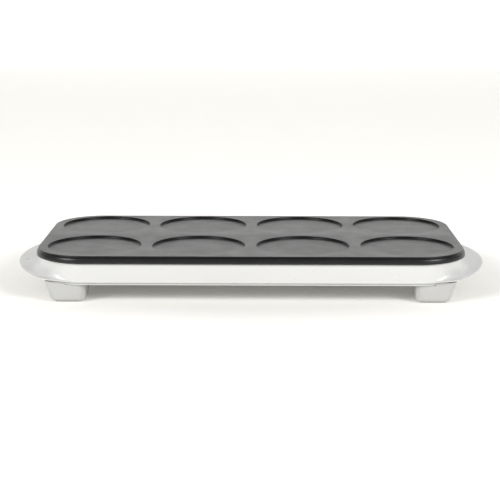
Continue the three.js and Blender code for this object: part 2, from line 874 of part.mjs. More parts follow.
const poleExit = blockBack - gap;
const poleZ = ledgeBottom - gap - blockHeight / 2;
const earthX = blockX + poles[0];
const earthY = outerRun - elementBend;
const tabEndY = wallOutside - switchDepth - tabLength - gap;
const fuseX = 30;
const fuseZ = upperWires;
const beadBottom = trayFloor - 1.6;
const pinWires = beadBottom - gap - wireRadius; // height of the wires at the element's pins
const pinFoot = pinWires - wireRadius - 1;

function wire(name, colour, points) {
  const route = points.map((p) => new THREE.Vector3(...p));
  const curve = new THREE.CatmullRomCurve3(route, false, "centripetal");
  const steps = Math.ceil(curve.getLength() / (5 * wireRadius));
  place(griddle, name, bar(curve, wireRadius, 3, steps), insulation[colour]);
}

function buildWiring() {
  const [earthPole, neutralPole, livePole] = poles.map((x) => blockX + x);
  const switchIn = switchX - tabOffset;
  const switchOut = switchX + tabOffset;
  const thermostatTab = thermostatRadius + 6 + gap + wireRadius;
  const pinX = terminalX + endBend;
  wire("wire_live", "live", [
    [livePole, poleExit, poleZ],
    [livePole + 3, wireLine, poleZ],
    [livePole + 14, wireLine, poleZ],
    [0, wireLine, poleZ],
    [switchIn - 12, wireLine, switchZ],
    [switchIn - 2, wireLine + 1.2, switchZ],
    [switchIn, tabEndY - 2.4, switchZ],
    [switchIn, tabEndY, switchZ],
  ]);
  wire("wire_switched", "live", [
    [switchOut, tabEndY, switchZ],
    [switchOut, tabEndY - 1.2, switchZ - 0.6],
    [switchOut, tabEndY - 1.8, switchZ - 3],
    [switchOut, tabEndY - 1.8, lowerWires + 3],
    [switchOut, wireLine + 1.8, lowerWires],
    [switchOut - 1, wireLine - 2, lowerWires],
    [switchOut - 20, earthY, lowerWires],
    [bracketHoleX + 12, 4, lowerWires],
    [bracketHoleX + 1, 0.4, trayFloor - 2.4],
    [bracketHoleX, 0, trayInside],
    [bracketHoleX, 0, tabHeight - 3],
    [thermostatTab + 3, 0, tabHeight],
    [thermostatTab, 0, tabHeight],
  ]);
  wire("wire_heater", "live", [
    [-thermostatTab, 0, tabHeight],
    [-thermostatTab - 3, 0, tabHeight],
    [-bracketHoleX, 0, tabHeight - 3],
    [-bracketHoleX, 0, trayInside],
    [-bracketHoleX, -0.6, trayFloor - 1],
    [-bracketHoleX + 1, -5, upperWires],
    [0, -innerRun, upperWires],
    [clipHalfSpan, -innerRun, upperWires],
    [pinX - 16, -outerRun, pinWires],
    [pinX - pinRadius - gap, -outerRun, pinWires],
  ]);
  wire("wire_neutral", "neutral", [
    [neutralPole, poleExit, poleZ],
    [neutralPole + 1, wireLine + 0.5, poleZ - 3],
    [neutralPole + 8, wireLine, fuseZ],
    [0, wireLine, fuseZ],
    [fuseX - fuseLength / 2 - gap, wireLine, fuseZ],
  ]);
  wire("wire_neutral_fused", "neutral", [
    [fuseX + fuseLength / 2 + gap, wireLine, fuseZ],
    [switchX, wireLine, fuseZ],
    [pinX - 12, wireLine, fuseZ],
    [pinX - 1, wireLine - 3, pinWires],
    [pinX, outerRun + pinRadius + gap + 4, pinWires],
    [pinX, outerRun + pinRadius + gap, pinWires],
  ]);
  wire("wire_earth", "earth", [
    [earthPole, poleExit, poleZ],
    [earthPole, wireLine, poleZ - 3],
    [earthPole, wireLine - 3, upperWires],
    [earthX, earthY + 14, upperWires],
    [earthX, earthY + 4, upperWires],
  ]);
}

// ---- assembly -----------------------------------------------------------------------------------------

place(griddle, "griddle_plate", plateSolid(), nonStick, 0, 0, plateTop);
place(griddle, "housing", housingSolid(), whitePlastic);
place(griddle, "base_cover", coverSolid(), whitePlastic);
for (const [name, [sideX, sideY]] of Object.entries(corners)) buildCorner(name, sideX, sideY);

place(griddle, "heat_reflector", reflectorSolid(), bareSteel);
place(griddle, "heating_element", elementSolid(), sheathSteel);
const clipPlaces = [[-clipHalfSpan, outerRun], [clipHalfSpan, outerRun], [0, innerRun]];
clipPlaces.forEach(([x, y], i) => {
  place(griddle, `element_clip_rear_${i + 1}`, clipSolid(), bareSteel, x, y, elementHeight);
  place(griddle, `element_clip_front_${i + 1}`, clipSolid(), bareSteel, x, -y, elementHeight);
});
for (const [end, side] of [["front", -1], ["rear", 1]]) {
  const [x, y] = [terminalX + endBend, side * outerRun];
  const pin = post(0, 0, pinRadius, pinFoot, sheathEnd - gap, 12);
  place(griddle, `terminal_bead_${end}`, beadSolid(), ceramic, x, y);
  place(griddle, `terminal_pin_${end}`, pin, bareSteel, x, y);
  const screwSeat = flangeTop + gap;
  for (const [sideName, screwAt] of [["left", -pitchX], ["right", pitchX]]) {
    const name = `reflector_screw_${end}_${sideName}`;
    place(griddle, name, smallScrewSolid(8), bareSteel, screwAt, side * flangeMiddle, screwSeat);
  }
}
place(griddle, "thermostat", thermostatSolid(), ceramic);
place(griddle, "thermostat_bracket", bracketSolid(), bareSteel);

place(griddle, "cord_gland", glandSolid(), greyPlastic, glandX, wallInside + housingWall / 2, glandZ);
place(griddle, "cord_clamp", clampSolid(), greyPlastic, glandX, channelMiddle, postReach);
for (const [end, side] of [["left", -1], ["right", 1]]) {
  const screw = place(
    griddle, `clamp_screw_${end}`, smallScrewSolid(9), bareSteel,
    glandX + side * clampSpan, channelMiddle, postReach - clampThickness - gap,
  );
  screw.rotation.x = Math.PI;
}
place(griddle, "terminal_block", blockSolid(), ceramic, blockX, channelMiddle, ledgeBottom - gap);

place(griddle, "switch_body", switchBodySolid(), greyPlastic, switchX, 0, switchZ);
const rocker = place(griddle, "switch_rocker", rockerSolid(), redPlastic, switchX, rockerPivot, switchZ);
rocker.rotation.z = THREE.MathUtils.degToRad(-rockerSwing);

buildWiring();
const fuse = new THREE.CylinderGeometry(fuseRadius, fuseRadius, fuseLength, 12).rotateZ(Math.PI / 2);
place(griddle, "thermal_fuse", solid(fuse), sleeve, fuseX, wireLine, fuseZ);
const earthScrew = place(griddle, "earth_screw", smallScrewSolid(5), brass, earthX, earthY, trayFloor - gap);
earthScrew.rotation.x = Math.PI;

export default griddle;
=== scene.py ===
# An electric griddle for eight small pancakes, as it leaves the assembly bench.
# Metres. +X runs along the griddle, +Y points to its rear, +Z is up, and the table is at zero.

import math

import bmesh
import bpy
from mathutils import Matrix, Vector


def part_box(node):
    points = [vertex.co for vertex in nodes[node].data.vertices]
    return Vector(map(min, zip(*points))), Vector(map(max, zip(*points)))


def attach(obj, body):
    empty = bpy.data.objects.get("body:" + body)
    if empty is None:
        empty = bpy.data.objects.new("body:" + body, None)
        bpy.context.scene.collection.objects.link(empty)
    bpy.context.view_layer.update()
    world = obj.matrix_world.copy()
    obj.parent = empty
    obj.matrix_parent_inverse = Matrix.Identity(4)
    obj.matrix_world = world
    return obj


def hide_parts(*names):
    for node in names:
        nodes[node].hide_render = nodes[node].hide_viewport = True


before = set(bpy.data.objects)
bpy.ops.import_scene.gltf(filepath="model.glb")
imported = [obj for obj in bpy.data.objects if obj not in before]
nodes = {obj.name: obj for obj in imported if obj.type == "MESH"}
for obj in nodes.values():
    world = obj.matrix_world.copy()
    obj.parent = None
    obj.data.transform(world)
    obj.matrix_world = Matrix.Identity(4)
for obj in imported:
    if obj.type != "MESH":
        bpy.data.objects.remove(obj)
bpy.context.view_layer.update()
millimetre = 0.001

# ---- camera --------------------------------------------------------------------------------
# A long lens on a tripod, a metre and a half in front and a little above the griddle,
# turned a touch to its left.

lens = bpy.data.cameras.new("studio_lens")
lens.lens = 91.0
lens.sensor_width = 36.0
lens.clip_end = 60.0
camera = bpy.data.objects.new("studio_camera", lens)
bpy.context.scene.collection.objects.link(camera)
camera_height_over_plate = 0.299
camera_tilt_down = math.radians(12.507)
camera_turn = math.radians(0.37)
camera_roll = math.radians(0.097)
plate_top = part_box("griddle_plate")[1].z
camera.matrix_world = (
    Matrix.Translation((0.00805, -1.42945, plate_top + camera_height_over_plate))
    @ Matrix.Rotation(camera_turn, 4, "Z")
    @ Matrix.Rotation(math.pi / 2 - camera_tilt_down, 4, "X")
    @ Matrix.Rotation(camera_roll, 4, "Z")
)
bpy.context.scene.camera = camera
bpy.context.scene.view_settings.view_transform = "Standard"

# ---- base cover ------------------------------------------------------------------------------
# A shallow white polypropylene tray that closes the housing from below. It is moulded with a
# locating rib round its rim and two banks of cooling slots, and the four foot screws hold it.

plate_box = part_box("griddle_plate")
plate_half_length = plate_box[1].x
plate_half_depth = plate_box[1].y
plate_corner = 56 * millimetre


def rounded_outline(half_x, half_y, radius, corner_steps=20, end_steps=28, side_steps=36):
    """Points of a rounded rectangle with their outward normals, anticlockwise from the right."""
    points = []
    straights = {0: side_steps, 1: end_steps, 2: side_steps, 3: end_steps}
    for quarter, (sx, sy) in enumerate([(1, 1), (-1, 1), (-1, -1), (1, -1)]):
        centre = Vector((sx * (half_x - radius), sy * (half_y - radius)))
        for i in range(corner_steps + 1):
            angle = (quarter + i / corner_steps) * math.pi / 2
            normal = Vector((math.cos(angle), math.sin(angle)))
            points.append((centre + radius * normal, normal))
        start = points[-1][0]
        normal = points[-1][1]
        turn = (quarter + 1) % 4
        nx, ny = [(1, 1), (-1, 1), (-1, -1), (1, -1)][turn]
        following = Vector((nx * (half_x - radius), ny * (half_y - radius))) + radius * normal
        steps = straights[quarter]
        for i in range(1, steps):
            points.append((start.lerp(following, i / steps), normal))
    return points


def plate_outline(inset):
    """The plan outline that plate and housing share, moved inwards by inset."""
    return rounded_outline(plate_half_length - inset, plate_half_depth - inset, plate_corner - inset)


def ring_of(outline, z):
    return [Vector((p.x, p.y, z)) for p, _ in outline]


def piece_from_rings(name, rings, closed=False, sharp=40):
    """A mesh through rings of equally many points; open stacks get a flat face at each end."""
    mesh = bmesh.new()
    rows = [[mesh.verts.new(p) for p in ring] for ring in rings]
    count = len(rows[0])
    pairs = list(zip(rows, rows[1:] + rows[:1])) if closed else list(zip(rows, rows[1:]))
    for low, high in pairs:
        for i in range(count):
            j = (i + 1) % count
            mesh.faces.new((low[i], low[j], high[j], high[i]))
    if not closed:
        mesh.faces.new(list(reversed(rows[0])))
        mesh.faces.new(rows[-1])
    bmesh.ops.remove_doubles(mesh, verts=mesh.verts, dist=2e-6)
    bmesh.ops.dissolve_degenerate(mesh, edges=mesh.edges, dist=1e-7)
    bmesh.ops.recalc_face_normals(mesh, faces=mesh.faces)
    return piece_from_bmesh(name, mesh, sharp)


def piece_from_bmesh(name, mesh, sharp=40):
    data = bpy.data.meshes.new(name)
    mesh.to_mesh(data)
    mesh.free()
    piece = bpy.data.objects.new(name, data)
    bpy.context.scene.collection.objects.link(piece)
    soften(piece, sharp)
    return piece


def soften(piece, sharp=40):
    """Smooth shading, with creases kept where faces meet at more than sharp degrees."""
    piece.data.shade_smooth()
    piece.data.set_sharp_from_angle(angle=math.radians(sharp))


def apply_modifiers(piece):
    bpy.context.view_layer.update()
    evaluated = piece.evaluated_get(bpy.context.evaluated_depsgraph_get())
    finished = bpy.data.meshes.new_from_object(evaluated)
    piece.modifiers.clear()
    piece.data = finished


def cut_away(piece, cutters, sharp=40):
    """Cuts each cutter's shape out of the piece and throws the cutters away."""
    for cutter in cutters:
        cut = piece.modifiers.new("cut", "BOOLEAN")
        cut.object = cutter
        cut.operation = "DIFFERENCE"
        cut.solver = "EXACT"
    apply_modifiers(piece)
    for cutter in cutters:
        bpy.data.objects.remove(cutter)
    soften(piece, sharp)


def box_piece(name, low, high, bevel=0.0, segments=2):
    mesh = bmesh.new()
    bmesh.ops.create_cube(mesh, size=1)
    size = Vector(high) - Vector(low)
    middle = (Vector(high) + Vector(low)) / 2
    for vertex in mesh.verts:
        vertex.co = Vector((vertex.co.x * size.x, vertex.co.y * size.y, vertex.co.z * size.z)) + middle
    if bevel:
        bmesh.ops.bevel(
            mesh, geom=list(mesh.edges), offset=bevel, segments=segments, affect="EDGES", profile=0.5
        )
    return piece_from_bmesh(name, mesh)


def turned_piece(name, profile, place, steps=48, axis="Z", sharp=40):
    """A turned shape from (radius, height) pairs, listed upwards on the outside."""
    mesh = bmesh.new()
    rows = []
    for radius, height in profile:
        if radius < 1e-9:
            rows.append([mesh.verts.new((0, 0, height))])
            continue
        rows.append([
            mesh.verts.new((
                radius * math.cos(2 * math.pi * i / steps),
                radius * math.sin(2 * math.pi * i / steps),
                height,
            ))
            for i in range(steps)
        ])
    closed = len(rows[0]) > 1 and len(rows[-1]) > 1
    for low, high in zip(rows, rows[1:] + (rows[:1] if closed else [])):
        for i in range(steps):
            j = (i + 1) % steps
            corners = [low[i % len(low)], low[j % len(low)], high[j % len(high)], high[i % len(high)]]
            corners = list(dict.fromkeys(corners))
            if len(corners) > 2:
                mesh.faces.new(corners)
    bmesh.ops.recalc_face_normals(mesh, faces=mesh.faces)
    turn = {
        "Z": Matrix.Identity(4),
        "Y": Matrix.Rotation(-math.pi / 2, 4, "X"),
        "-Z": Matrix.Rotation(math.pi, 4, "X"),
    }[axis]
    mesh.transform(Matrix.Translation(place) @ turn)
    return piece_from_bmesh(name, mesh, sharp)


def new_material(name):
    """An empty material: its node tree, shader, and a function that adds and links nodes."""
    material = bpy.data.materials.new(name)
    material.use_nodes = True
    tree = material.node_tree
    shader = tree.nodes["Principled BSDF"]
    place = tree.nodes.new("ShaderNodeTexCoord").outputs["Object"]

    def noise(scale, detail=3.0, stretch=None):
        mapping = tree.nodes.new("ShaderNodeMapping")
        tree.links.new(place, mapping.inputs["Vector"])
        if stretch:
            mapping.inputs["Scale"].default_value = stretch
        texture = tree.nodes.new("ShaderNodeTexNoise")
        texture.inputs["Scale"].default_value = scale
        texture.inputs["Detail"].default_value = detail
        tree.links.new(mapping.outputs["Vector"], texture.inputs["Vector"])
        return texture.outputs["Fac"]

    def spread(source, low, high, from_low=0.3, from_high=0.7):
        ramp = tree.nodes.new("ShaderNodeMapRange")
        ramp.inputs["From Min"].default_value = from_low
        ramp.inputs["From Max"].default_value = from_high
        ramp.inputs["To Min"].default_value = low
        ramp.inputs["To Max"].default_value = high
        tree.links.new(source, ramp.inputs["Value"])
        return ramp.outputs["Result"]

    def tint(source, dark, light):
        ramp = tree.nodes.new("ShaderNodeValToRGB")
        ramp.color_ramp.elements[0].position = 0.3
        ramp.color_ramp.elements[1].position = 0.7
        ramp.color_ramp.elements[0].color = (*dark, 1)
        ramp.color_ramp.elements[1].color = (*light, 1)
        tree.links.new(source, ramp.inputs["Fac"])
        tree.links.new(ramp.outputs["Color"], shader.inputs["Base Color"])

    def relief(source, height, strength=1.0):
        bump = tree.nodes.new("ShaderNodeBump")
        bump.inputs["Strength"].default_value = strength
        bump.inputs["Distance"].default_value = height
        previous = shader.inputs["Normal"].links
        if previous:
            tree.links.new(previous[0].from_socket, bump.inputs["Normal"])
        tree.links.new(source, bump.inputs["Height"])
        tree.links.new(bump.outputs["Normal"], shader.inputs["Normal"])

    def rough(source):
        tree.links.new(source, shader.inputs["Roughness"])

    return material, shader, noise, spread, tint, relief, rough


def moulded_plastic(name, dark, light, roughness, grain_height=4e-6):
    """Injection-moulded plastic: even colour, faint flow marks, a fine spark-eroded grain."""
    material, shader, noise, spread, tint, relief, rough = new_material(name)
    tint(noise(9.0, 4.0), dark, light)
    rough(spread(noise(60.0, 3.0), roughness - 0.03, roughness + 0.05))
    relief(noise(1900.0, 2.0), grain_height)
    relief(noise(26.0, 1.0), 3 * grain_height)
    shader.inputs["IOR"].default_value = 1.49
    return material


white_plastic = moulded_plastic("white_polypropylene", (0.62, 0.62, 0.612), (0.645, 0.645, 0.636), 0.3)
white_plastic.node_tree.nodes["Principled BSDF"].inputs["Coat Weight"].default_value = 0.15
white_plastic.node_tree.nodes["Principled BSDF"].inputs["Coat Roughness"].default_value = 0.12


def finish_piece(piece, material, body, replaced=()):
    """Gives a piece its material, its place on a body and the parts that it stands for."""
    piece.data.materials.clear()
    piece.data.materials.append(material)
    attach(piece, body)
    if replaced:
        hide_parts(*replaced)


cover_low, cover_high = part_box("base_cover")
housing_low, housing_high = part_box("housing")
cover_rim = plate_half_length - cover_high.x
cover_skin = 1.8 * millimetre
cover_top = cover_low.z + cover_skin
screw_hole = 2.25 * millimetre  # radius that clears a foot screw
rib_outer = cover_rim + 2.3 * millimetre
rib_inner = rib_outer + 1.6 * millimetre
cover_profile = [
    (cover_rim + 2.6e-3, cover_low.z),
    (cover_rim + 1.1e-3, cover_low.z + 0.1e-3),
    (cover_rim + 0.35e-3, cover_low.z + 0.5e-3),
    (cover_rim, cover_low.z + 1.1e-3),
    (cover_rim, cover_top - 0.2e-3),
    (cover_rim + 0.2e-3, cover_top),
    (rib_outer - 0.2e-3, cover_top),
    (rib_outer, cover_top + 0.2e-3),
    (rib_outer, cover_high.z - 0.3e-3),
    (rib_outer + 0.3e-3, cover_high.z),
    (rib_inner - 0.3e-3, cover_high.z),
    (rib_inner, cover_high.z - 0.3e-3),
    (rib_inner, cover_top + 0.2e-3),
    (rib_inner + 0.2e-3, cover_top),
]
base_cover = piece_from_rings(
    "base_cover_moulding", [ring_of(plate_outline(inset), z) for inset, z in cover_profile]
)
recess_pitch = 115.5 * millimetre
slot_pitch = 10 * millimetre
slot_width = 3 * millimetre
slot_length = 40 * millimetre
slot_cutters = []
for bank in (-recess_pitch, recess_pitch):
    for i in range(-3, 4):
        middle = bank + i * slot_pitch
        slot_cutters.append(box_piece(
            "slot_cutter",
            (middle - slot_width / 2, -slot_length / 2, cover_low.z - 5e-3),
            (middle + slot_width / 2, slot_length / 2, cover_top + 5e-3),
            bevel=slot_width / 2 - 0.05e-3,
        ))
foot_screw_places = {}
for corner in ("front_left", "front_right", "rear_left", "rear_right"):
    low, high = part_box(f"foot_screw_{corner}")
    foot_screw_places[corner] = ((low.x + high.x) / 2, (low.y + high.y) / 2)
for x, y in foot_screw_places.values():
    slot_cutters.append(turned_piece(
        "screw_hole_cutter",
        [
            (0, cover_low.z - 5e-3), (screw_hole, cover_low.z - 5e-3),
            (screw_hole, cover_top + 5e-3), (0, cover_top + 5e-3),
        ],
        (x, y, 0),
        24,
    ))
cut_away(base_cover, slot_cutters)
finish_piece(base_cover, white_plastic, "base", ["base_cover"])

# ---- feet, with their rubber pads and screws ---------------------------------------------------
# Four hollow white blocks that flare upwards and tuck round the housing's lower corners. Each
# is held by one long screw from below, in the same recess as a round grey silicone pad.

foot_low, foot_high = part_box("foot_front_right")
head_hole = 3.95 * millimetre  # radius that clears a foot screw's head
head_seat = 5.3 * millimetre
foot_base = (24, 13, 23, 16)  # reach from the screw at the table: inwards, outwards, back, front
foot_flare = (1.6, 6.3, 3, 4)  # more at the top


def foot_outline(share, inset, radius):
    """Plan outline of the front right foot at a share of its height, from its screw."""
    inward_x, outward_x, inward_y, outward_y = [
        (base + share * flare) * millimetre for base, flare in zip(foot_base, foot_flare)
    ]
    outline = rounded_outline(
        (inward_x + outward_x) / 2 - inset, (inward_y + outward_y) / 2 - inset, radius - inset, 10, 4, 4
    )
    shift = Vector(((outward_x - inward_x) / 2, (outward_y - inward_y) / 2))
    return [(p + shift, n) for p, n in outline]


def foot_blank(name, inset):
    """The block's outer form, without the room for the housing above it."""
    bottom = foot_low.z + inset
    height = foot_high.z - foot_low.z
    levels = [(0.0, 3.6), (0.012, 2.3), (0.045, 1.2), (0.1, 0.45), (0.18, 0.05)]
    levels += [(0.24, 0.0), (0.5, 0.0), (0.75, 0.0), (1.0, 0.0)]
    rings = [
        ring_of(foot_outline(share, softening * millimetre + inset, 7.4e-3), bottom + share * (height - inset))
        for share, softening in levels
    ]
    if inset:
        rings.append([p + Vector((0, 0, 6e-3)) for p in rings[-1]])
    return piece_from_rings(name, rings, sharp=50)


def housing_cutter(grow):
    """The underside of housing and cover, grown all round, as a tool that clears the feet."""
    inset = 3.5e-3 - grow
    bottom = housing_low.z
    profile = [(cover_rim - grow, cover_low.z - grow), (cover_rim - grow, bottom - grow)]
    for degrees in range(60, -1, -10):
        angle = math.radians(degrees)
        profile.append((inset + 4e-3 * (1 - math.cos(angle)), bottom + 4e-3 * (1 - math.sin(angle)) - grow))
    profile.append((inset, bottom + 12e-3))
    return piece_from_rings("housing_cutter", [ring_of(plate_outline(i), z) for i, z in profile])


# The feet's plastic is made darker than the housing's white plastic: painted shade for feet that stand back in
# the housing's shadow.
foot_plastic_painted_shade = moulded_plastic("foot_polypropylene_painted_shade", (0.47, 0.47, 0.46), (0.50, 0.50, 0.49), 0.42)

silicone, shader, noise, spread, tint, relief, rough = new_material("grey_silicone")
tint(noise(400.0), (0.22, 0.22, 0.215), (0.30, 0.30, 0.29))
rough(spread(noise(120.0), 0.62, 0.8))
relief(noise(2600.0, 2.0), 8e-6)

zinc, shader, noise, spread, tint, relief, rough = new_material("zinc_plate")
shader.inputs["Metallic"].default_value = 1.0
tint(noise(700.0, 4.0), (0.46, 0.47, 0.48), (0.62, 0.62, 0.62))
rough(spread(noise(300.0), 0.28, 0.45))
relief(noise(1500.0), 5e-6)

side_of = {"left": -1, "right": 1, "front": -1, "rear": 1}
for corner, (x, y) in foot_screw_places.items():
    end, side = corner.split("_")
    blank = foot_blank(f"foot_moulding_{corner}", 0)
    hollow = foot_blank("foot_hollow", 2.4e-3)
    boss_top = cover_low.z - 0.3e-3
    boss = turned_piece(
        "foot_boss",
        [(0, foot_low.z + 1.5e-3), (6e-3, foot_low.z + 1.5e-3), (6e-3, boss_top), (0, boss_top)],
        (0, 0, 0),
        32,
    )
    cut_away(blank, [hollow])
    union = blank.modifiers.new("boss", "BOOLEAN")
    union.object = boss
    union.operation = "UNION"
    union.solver = "EXACT"
    apply_modifiers(blank)
    bpy.data.objects.remove(boss)
    flip = Matrix.Diagonal((side_of[side], side_of[end], 1, 1))
    blank.data.transform(Matrix.Translation((x, y, 0)) @ flip)
    if side_of[side] * side_of[end] < 0:
        blank.data.flip_normals()
    pad_low, pad_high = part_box(f"foot_pad_{corner}")
    pad_radius = (pad_high.x - pad_low.x) / 2
    pocket = turned_piece(
        "pad_pocket",
        [
            (0, -2e-3), (pad_radius + 0.3e-3, -2e-3),
            (pad_radius + 0.3e-3, pad_high.z + 0.3e-3), (0, pad_high.z + 0.3e-3),
        ],
        (x, y, 0),
    )
    bore = turned_piece(
        "screw_bore",
        [
            (0, -2e-3), (head_hole, -2e-3), (head_hole, head_seat), (screw_hole, head_seat),
            (screw_hole, foot_high.z + 10e-3), (0, foot_high.z + 10e-3),
        ],
        (x, y, 0),
        32,
    )
    cut_away(blank, [housing_cutter(0.12e-3), pocket, bore], 35)
    finish_piece(blank, foot_plastic_painted_shade, "base", [f"foot_{corner}"])

    pad = turned_piece(
        f"foot_pad_disc_{corner}",
        [
            (0, 0.25e-3), (3e-3, 0.25e-3), (3.4e-3, 0), (pad_radius - 0.9e-3, 0),
            (pad_radius - 0.25e-3, 0.3e-3), (pad_radius, 0.9e-3), (pad_radius, pad_high.z - 0.1e-3),
            (pad_radius - 0.1e-3, pad_high.z), (0, pad_high.z),
        ],
        (x, y, 0),
    )
    finish_piece(pad, silicone, "base", [f"foot_pad_{corner}"])

# ---- housing -----------------------------------------------------------------------------------
# One thin white moulding: the side wall, a flat crescent handle at each end that flows out of
# the wall, and inside it a ledge for the heat reflector and an upstand that centres the plate.

wall_inset = 3.5 * millimetre
wall = 2.7 * millimetre
bottom_round = 4 * millimetre
upstand_top = housing_high.z
shoulder = upstand_top - 3 * millimetre
ledge_top = shoulder - 2.8 * millimetre
ledge_under = ledge_top - 2.5 * millimetre
wing_under = housing_low.z + 1.6 * millimetre
wing_top = wing_under + 5 * millimetre
wing_edge = 1.3 * millimetre  # the handle's thickness at its rim
wing_taper = 22 * millimetre  # its underside rises to the rim over this much
wing_radius = 171 * millimetre
wing_corner = 12 * millimetre
wing_half_depth = 112.2 * millimetre
wing_centre = housing_high.x - wing_radius
wing_corner_y = wing_half_depth - wing_corner
wing_corner_x = wing_centre + math.sqrt((wing_radius - wing_corner) ** 2 - wing_corner_y ** 2)
blend = 11 * millimetre  # radius with which the wall runs out into the handle


def wing_distance(point, normal):
    """How far the handle's outline lies beyond a point of the wall, along its normal."""
    x, y = abs(point.x), abs(point.y)
    nx, ny = abs(normal.x), abs(normal.y)
    if nx < 1e-6:
        return 0.0

    def outside(distance):
        px, py = x + nx * distance, y + ny * distance
        if py > wing_half_depth:
            return True
        if py > wing_corner_y and px > wing_corner_x:
            return math.hypot(px - wing_corner_x, py - wing_corner_y) > wing_corner
        return math.hypot(px - wing_centre, py) > wing_radius
    if outside(0.0):
        return 0.0
    low, high = 0.0, 0.08
    for _ in range(40):
        middle = (low + high) / 2
        if outside(middle):
            high = middle
        else:
            low = middle
    return low


wall_outline = plate_outline(wall_inset)
reach = [wing_distance(p, n) for p, n in wall_outline]


def wing_level(out):
    """Height of the handle's top where it stands out by that much: it dips into the corners."""
    lowest = wing_under + wing_edge
    return lowest + (wing_top - lowest) * min(1.0, out / wing_taper)


def wing_ring(share, height, pull=0.0):
    """A ring at a share of the handle's reach, pulled back by pull, at a height over its rim's
    underside (0) or its top (1)."""
    ring = []
    for (p, n), out in zip(wall_outline, reach):
        q = p + n * max(0.0, share * out - min(pull, out))
        top = wing_level(out)
        under = wing_under + (top - wing_edge - wing_under) * share
        ring.append(Vector((q.x, q.y, under + (top - under) * height)))
    return ring


def fillet_ring(degrees):
    """A ring on the concave sweep from the handle's top (0) up to the wall (90)."""
    angle = math.radians(degrees)
    ring = []
    for (p, n), out in zip(wall_outline, reach):
        q = p + n * min(blend, 0.62 * out) * (1 - math.sin(angle))
        low = wing_level(out)
        ring.append(Vector((q.x, q.y, low + (wing_top + blend - low) * (1 - math.cos(angle)))))
    return ring


def lower_edge(degrees):
    angle = math.radians(degrees)
    inset = wall_inset + bottom_round * (1 - math.cos(angle))
    return ring_of(plate_outline(inset), housing_low.z + bottom_round * (1 - math.sin(angle)))


rings = [
    ring_of(plate_outline(wall_inset + wall + 0.6e-3), housing_low.z),
    ring_of(plate_outline(wall_inset + 2.4e-3), housing_low.z),
    ring_of(plate_outline(wall_inset + 2.0e-3), housing_low.z + 0.25e-3),
]
rings += [lower_edge(degrees) for degrees in (58, 52, 46, 40)]
rings += [wing_ring(share, 0) for share in (0.1, 0.3, 0.5, 0.7, 0.85)]
for degrees in range(-90, 91, 18):
    angle = math.radians(degrees)
    pull = wing_edge / 2 * (1 - math.cos(angle))
    rings.append(wing_ring(1.0, 0.5 + 0.5 * math.sin(angle), pull))
rings.append(wing_ring(1.0, 1, pull=2.2e-3))
rings += [wing_ring(share, 1) for share in (0.85, 0.72)]
rings += [fillet_ring(degrees) for degrees in range(0, 91, 9)]
rings.append(ring_of(plate_outline(wall_inset), shoulder - 0.9e-3))
rings.append(ring_of(plate_outline(wall_inset + 0.1e-3), shoulder - 0.45e-3))
rings.append(ring_of(plate_outline(wall_inset + 0.35e-3), shoulder - 0.12e-3))
rings.append(ring_of(plate_outline(wall_inset + 0.8e-3), shoulder))
rings.append(ring_of(plate_outline(wall_inset + wall - 0.5e-3), shoulder))
upstand_outer = 6 * millimetre
upstand_inner = 8 * millimetre
rings.append(ring_of(plate_outline(upstand_outer - 0.05e-3), shoulder))
rings.append(ring_of(plate_outline(upstand_outer), shoulder + 0.1e-3))
rings.append(ring_of(plate_outline(upstand_outer), upstand_top - 0.4e-3))
rings.append(ring_of(plate_outline(upstand_outer + 0.4e-3), upstand_top))
rings.append(ring_of(plate_outline(upstand_inner - 0.4e-3), upstand_top))
rings.append(ring_of(plate_outline(upstand_inner), upstand_top - 0.4e-3))
rings.append(ring_of(plate_outline(upstand_inner), ledge_top + 0.3e-3))
rings.append(ring_of(plate_outline(upstand_inner + 0.3e-3), ledge_top))
tray_low, tray_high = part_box("heat_reflector")
tray_flange = 8 * millimetre
opening_half = (tray_high.x - tray_flange + 1.5e-3, tray_high.y - tray_flange + 1.5e-3)
rings.append(ring_of(rounded_outline(*opening_half, 15.5e-3), ledge_top))
rings.append(ring_of(rounded_outline(*opening_half, 15.5e-3), ledge_under))
inner = wall_inset + wall
rings.append(ring_of(plate_outline(inner + 0.3e-3), ledge_under))
rings.append(ring_of(plate_outline(inner), ledge_under - 0.3e-3))
rings.append(ring_of(plate_outline(inner), housing_low.z + bottom_round))
rings.append(ring_of(plate_outline(inner + 0.3e-3), housing_low.z + 2.2e-3))
housing = piece_from_rings("housing_moulding", rings, closed=True, sharp=50)
switch_low, switch_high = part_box("switch_body")
gland_low, gland_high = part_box("cord_gland")
gland_place = ((gland_low.x + gland_high.x) / 2, (gland_low.z + gland_high.z) / 2)
switch_place = ((switch_low.x + switch_high.x) / 2, (switch_low.z + switch_high.z) / 2)
wall_outside = plate_half_depth - wall_inset
hole_cutters = [
    turned_piece(
        "gland_hole",
        [(0, 0.1), (5.9e-3, 0.1), (5.9e-3, 0.125), (0, 0.125)],
        (gland_place[0], 0, gland_place[1]), 40, "Y",
    ),
    box_piece(
        "switch_hole",
        (switch_place[0] - 11e-3, 0.1, switch_place[1] - 6.2e-3),
        (switch_place[0] + 11e-3, 0.125, switch_place[1] + 6.2e-3),
    ),
]
cut_away(housing, hole_cutters, 50)
clamp_low, clamp_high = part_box("cord_clamp")
clamp_middle_y = (clamp_low.y + clamp_high.y) / 2
boss_foot = cover_top + 0.3e-3
small_screw_hole = 1.75 * millimetre
clamp_span = 10 * millimetre  # from the cord's middle to each clamp screw
bosses = [(x, y, 4.6e-3, boss_foot, screw_hole) for x, y in foot_screw_places.values()]
for side in (-1, 1):
    x = gland_place[0] + side * clamp_span
    bosses.append((x, clamp_middle_y, 3.4e-3, clamp_high.z + 0.3e-3, small_screw_hole))
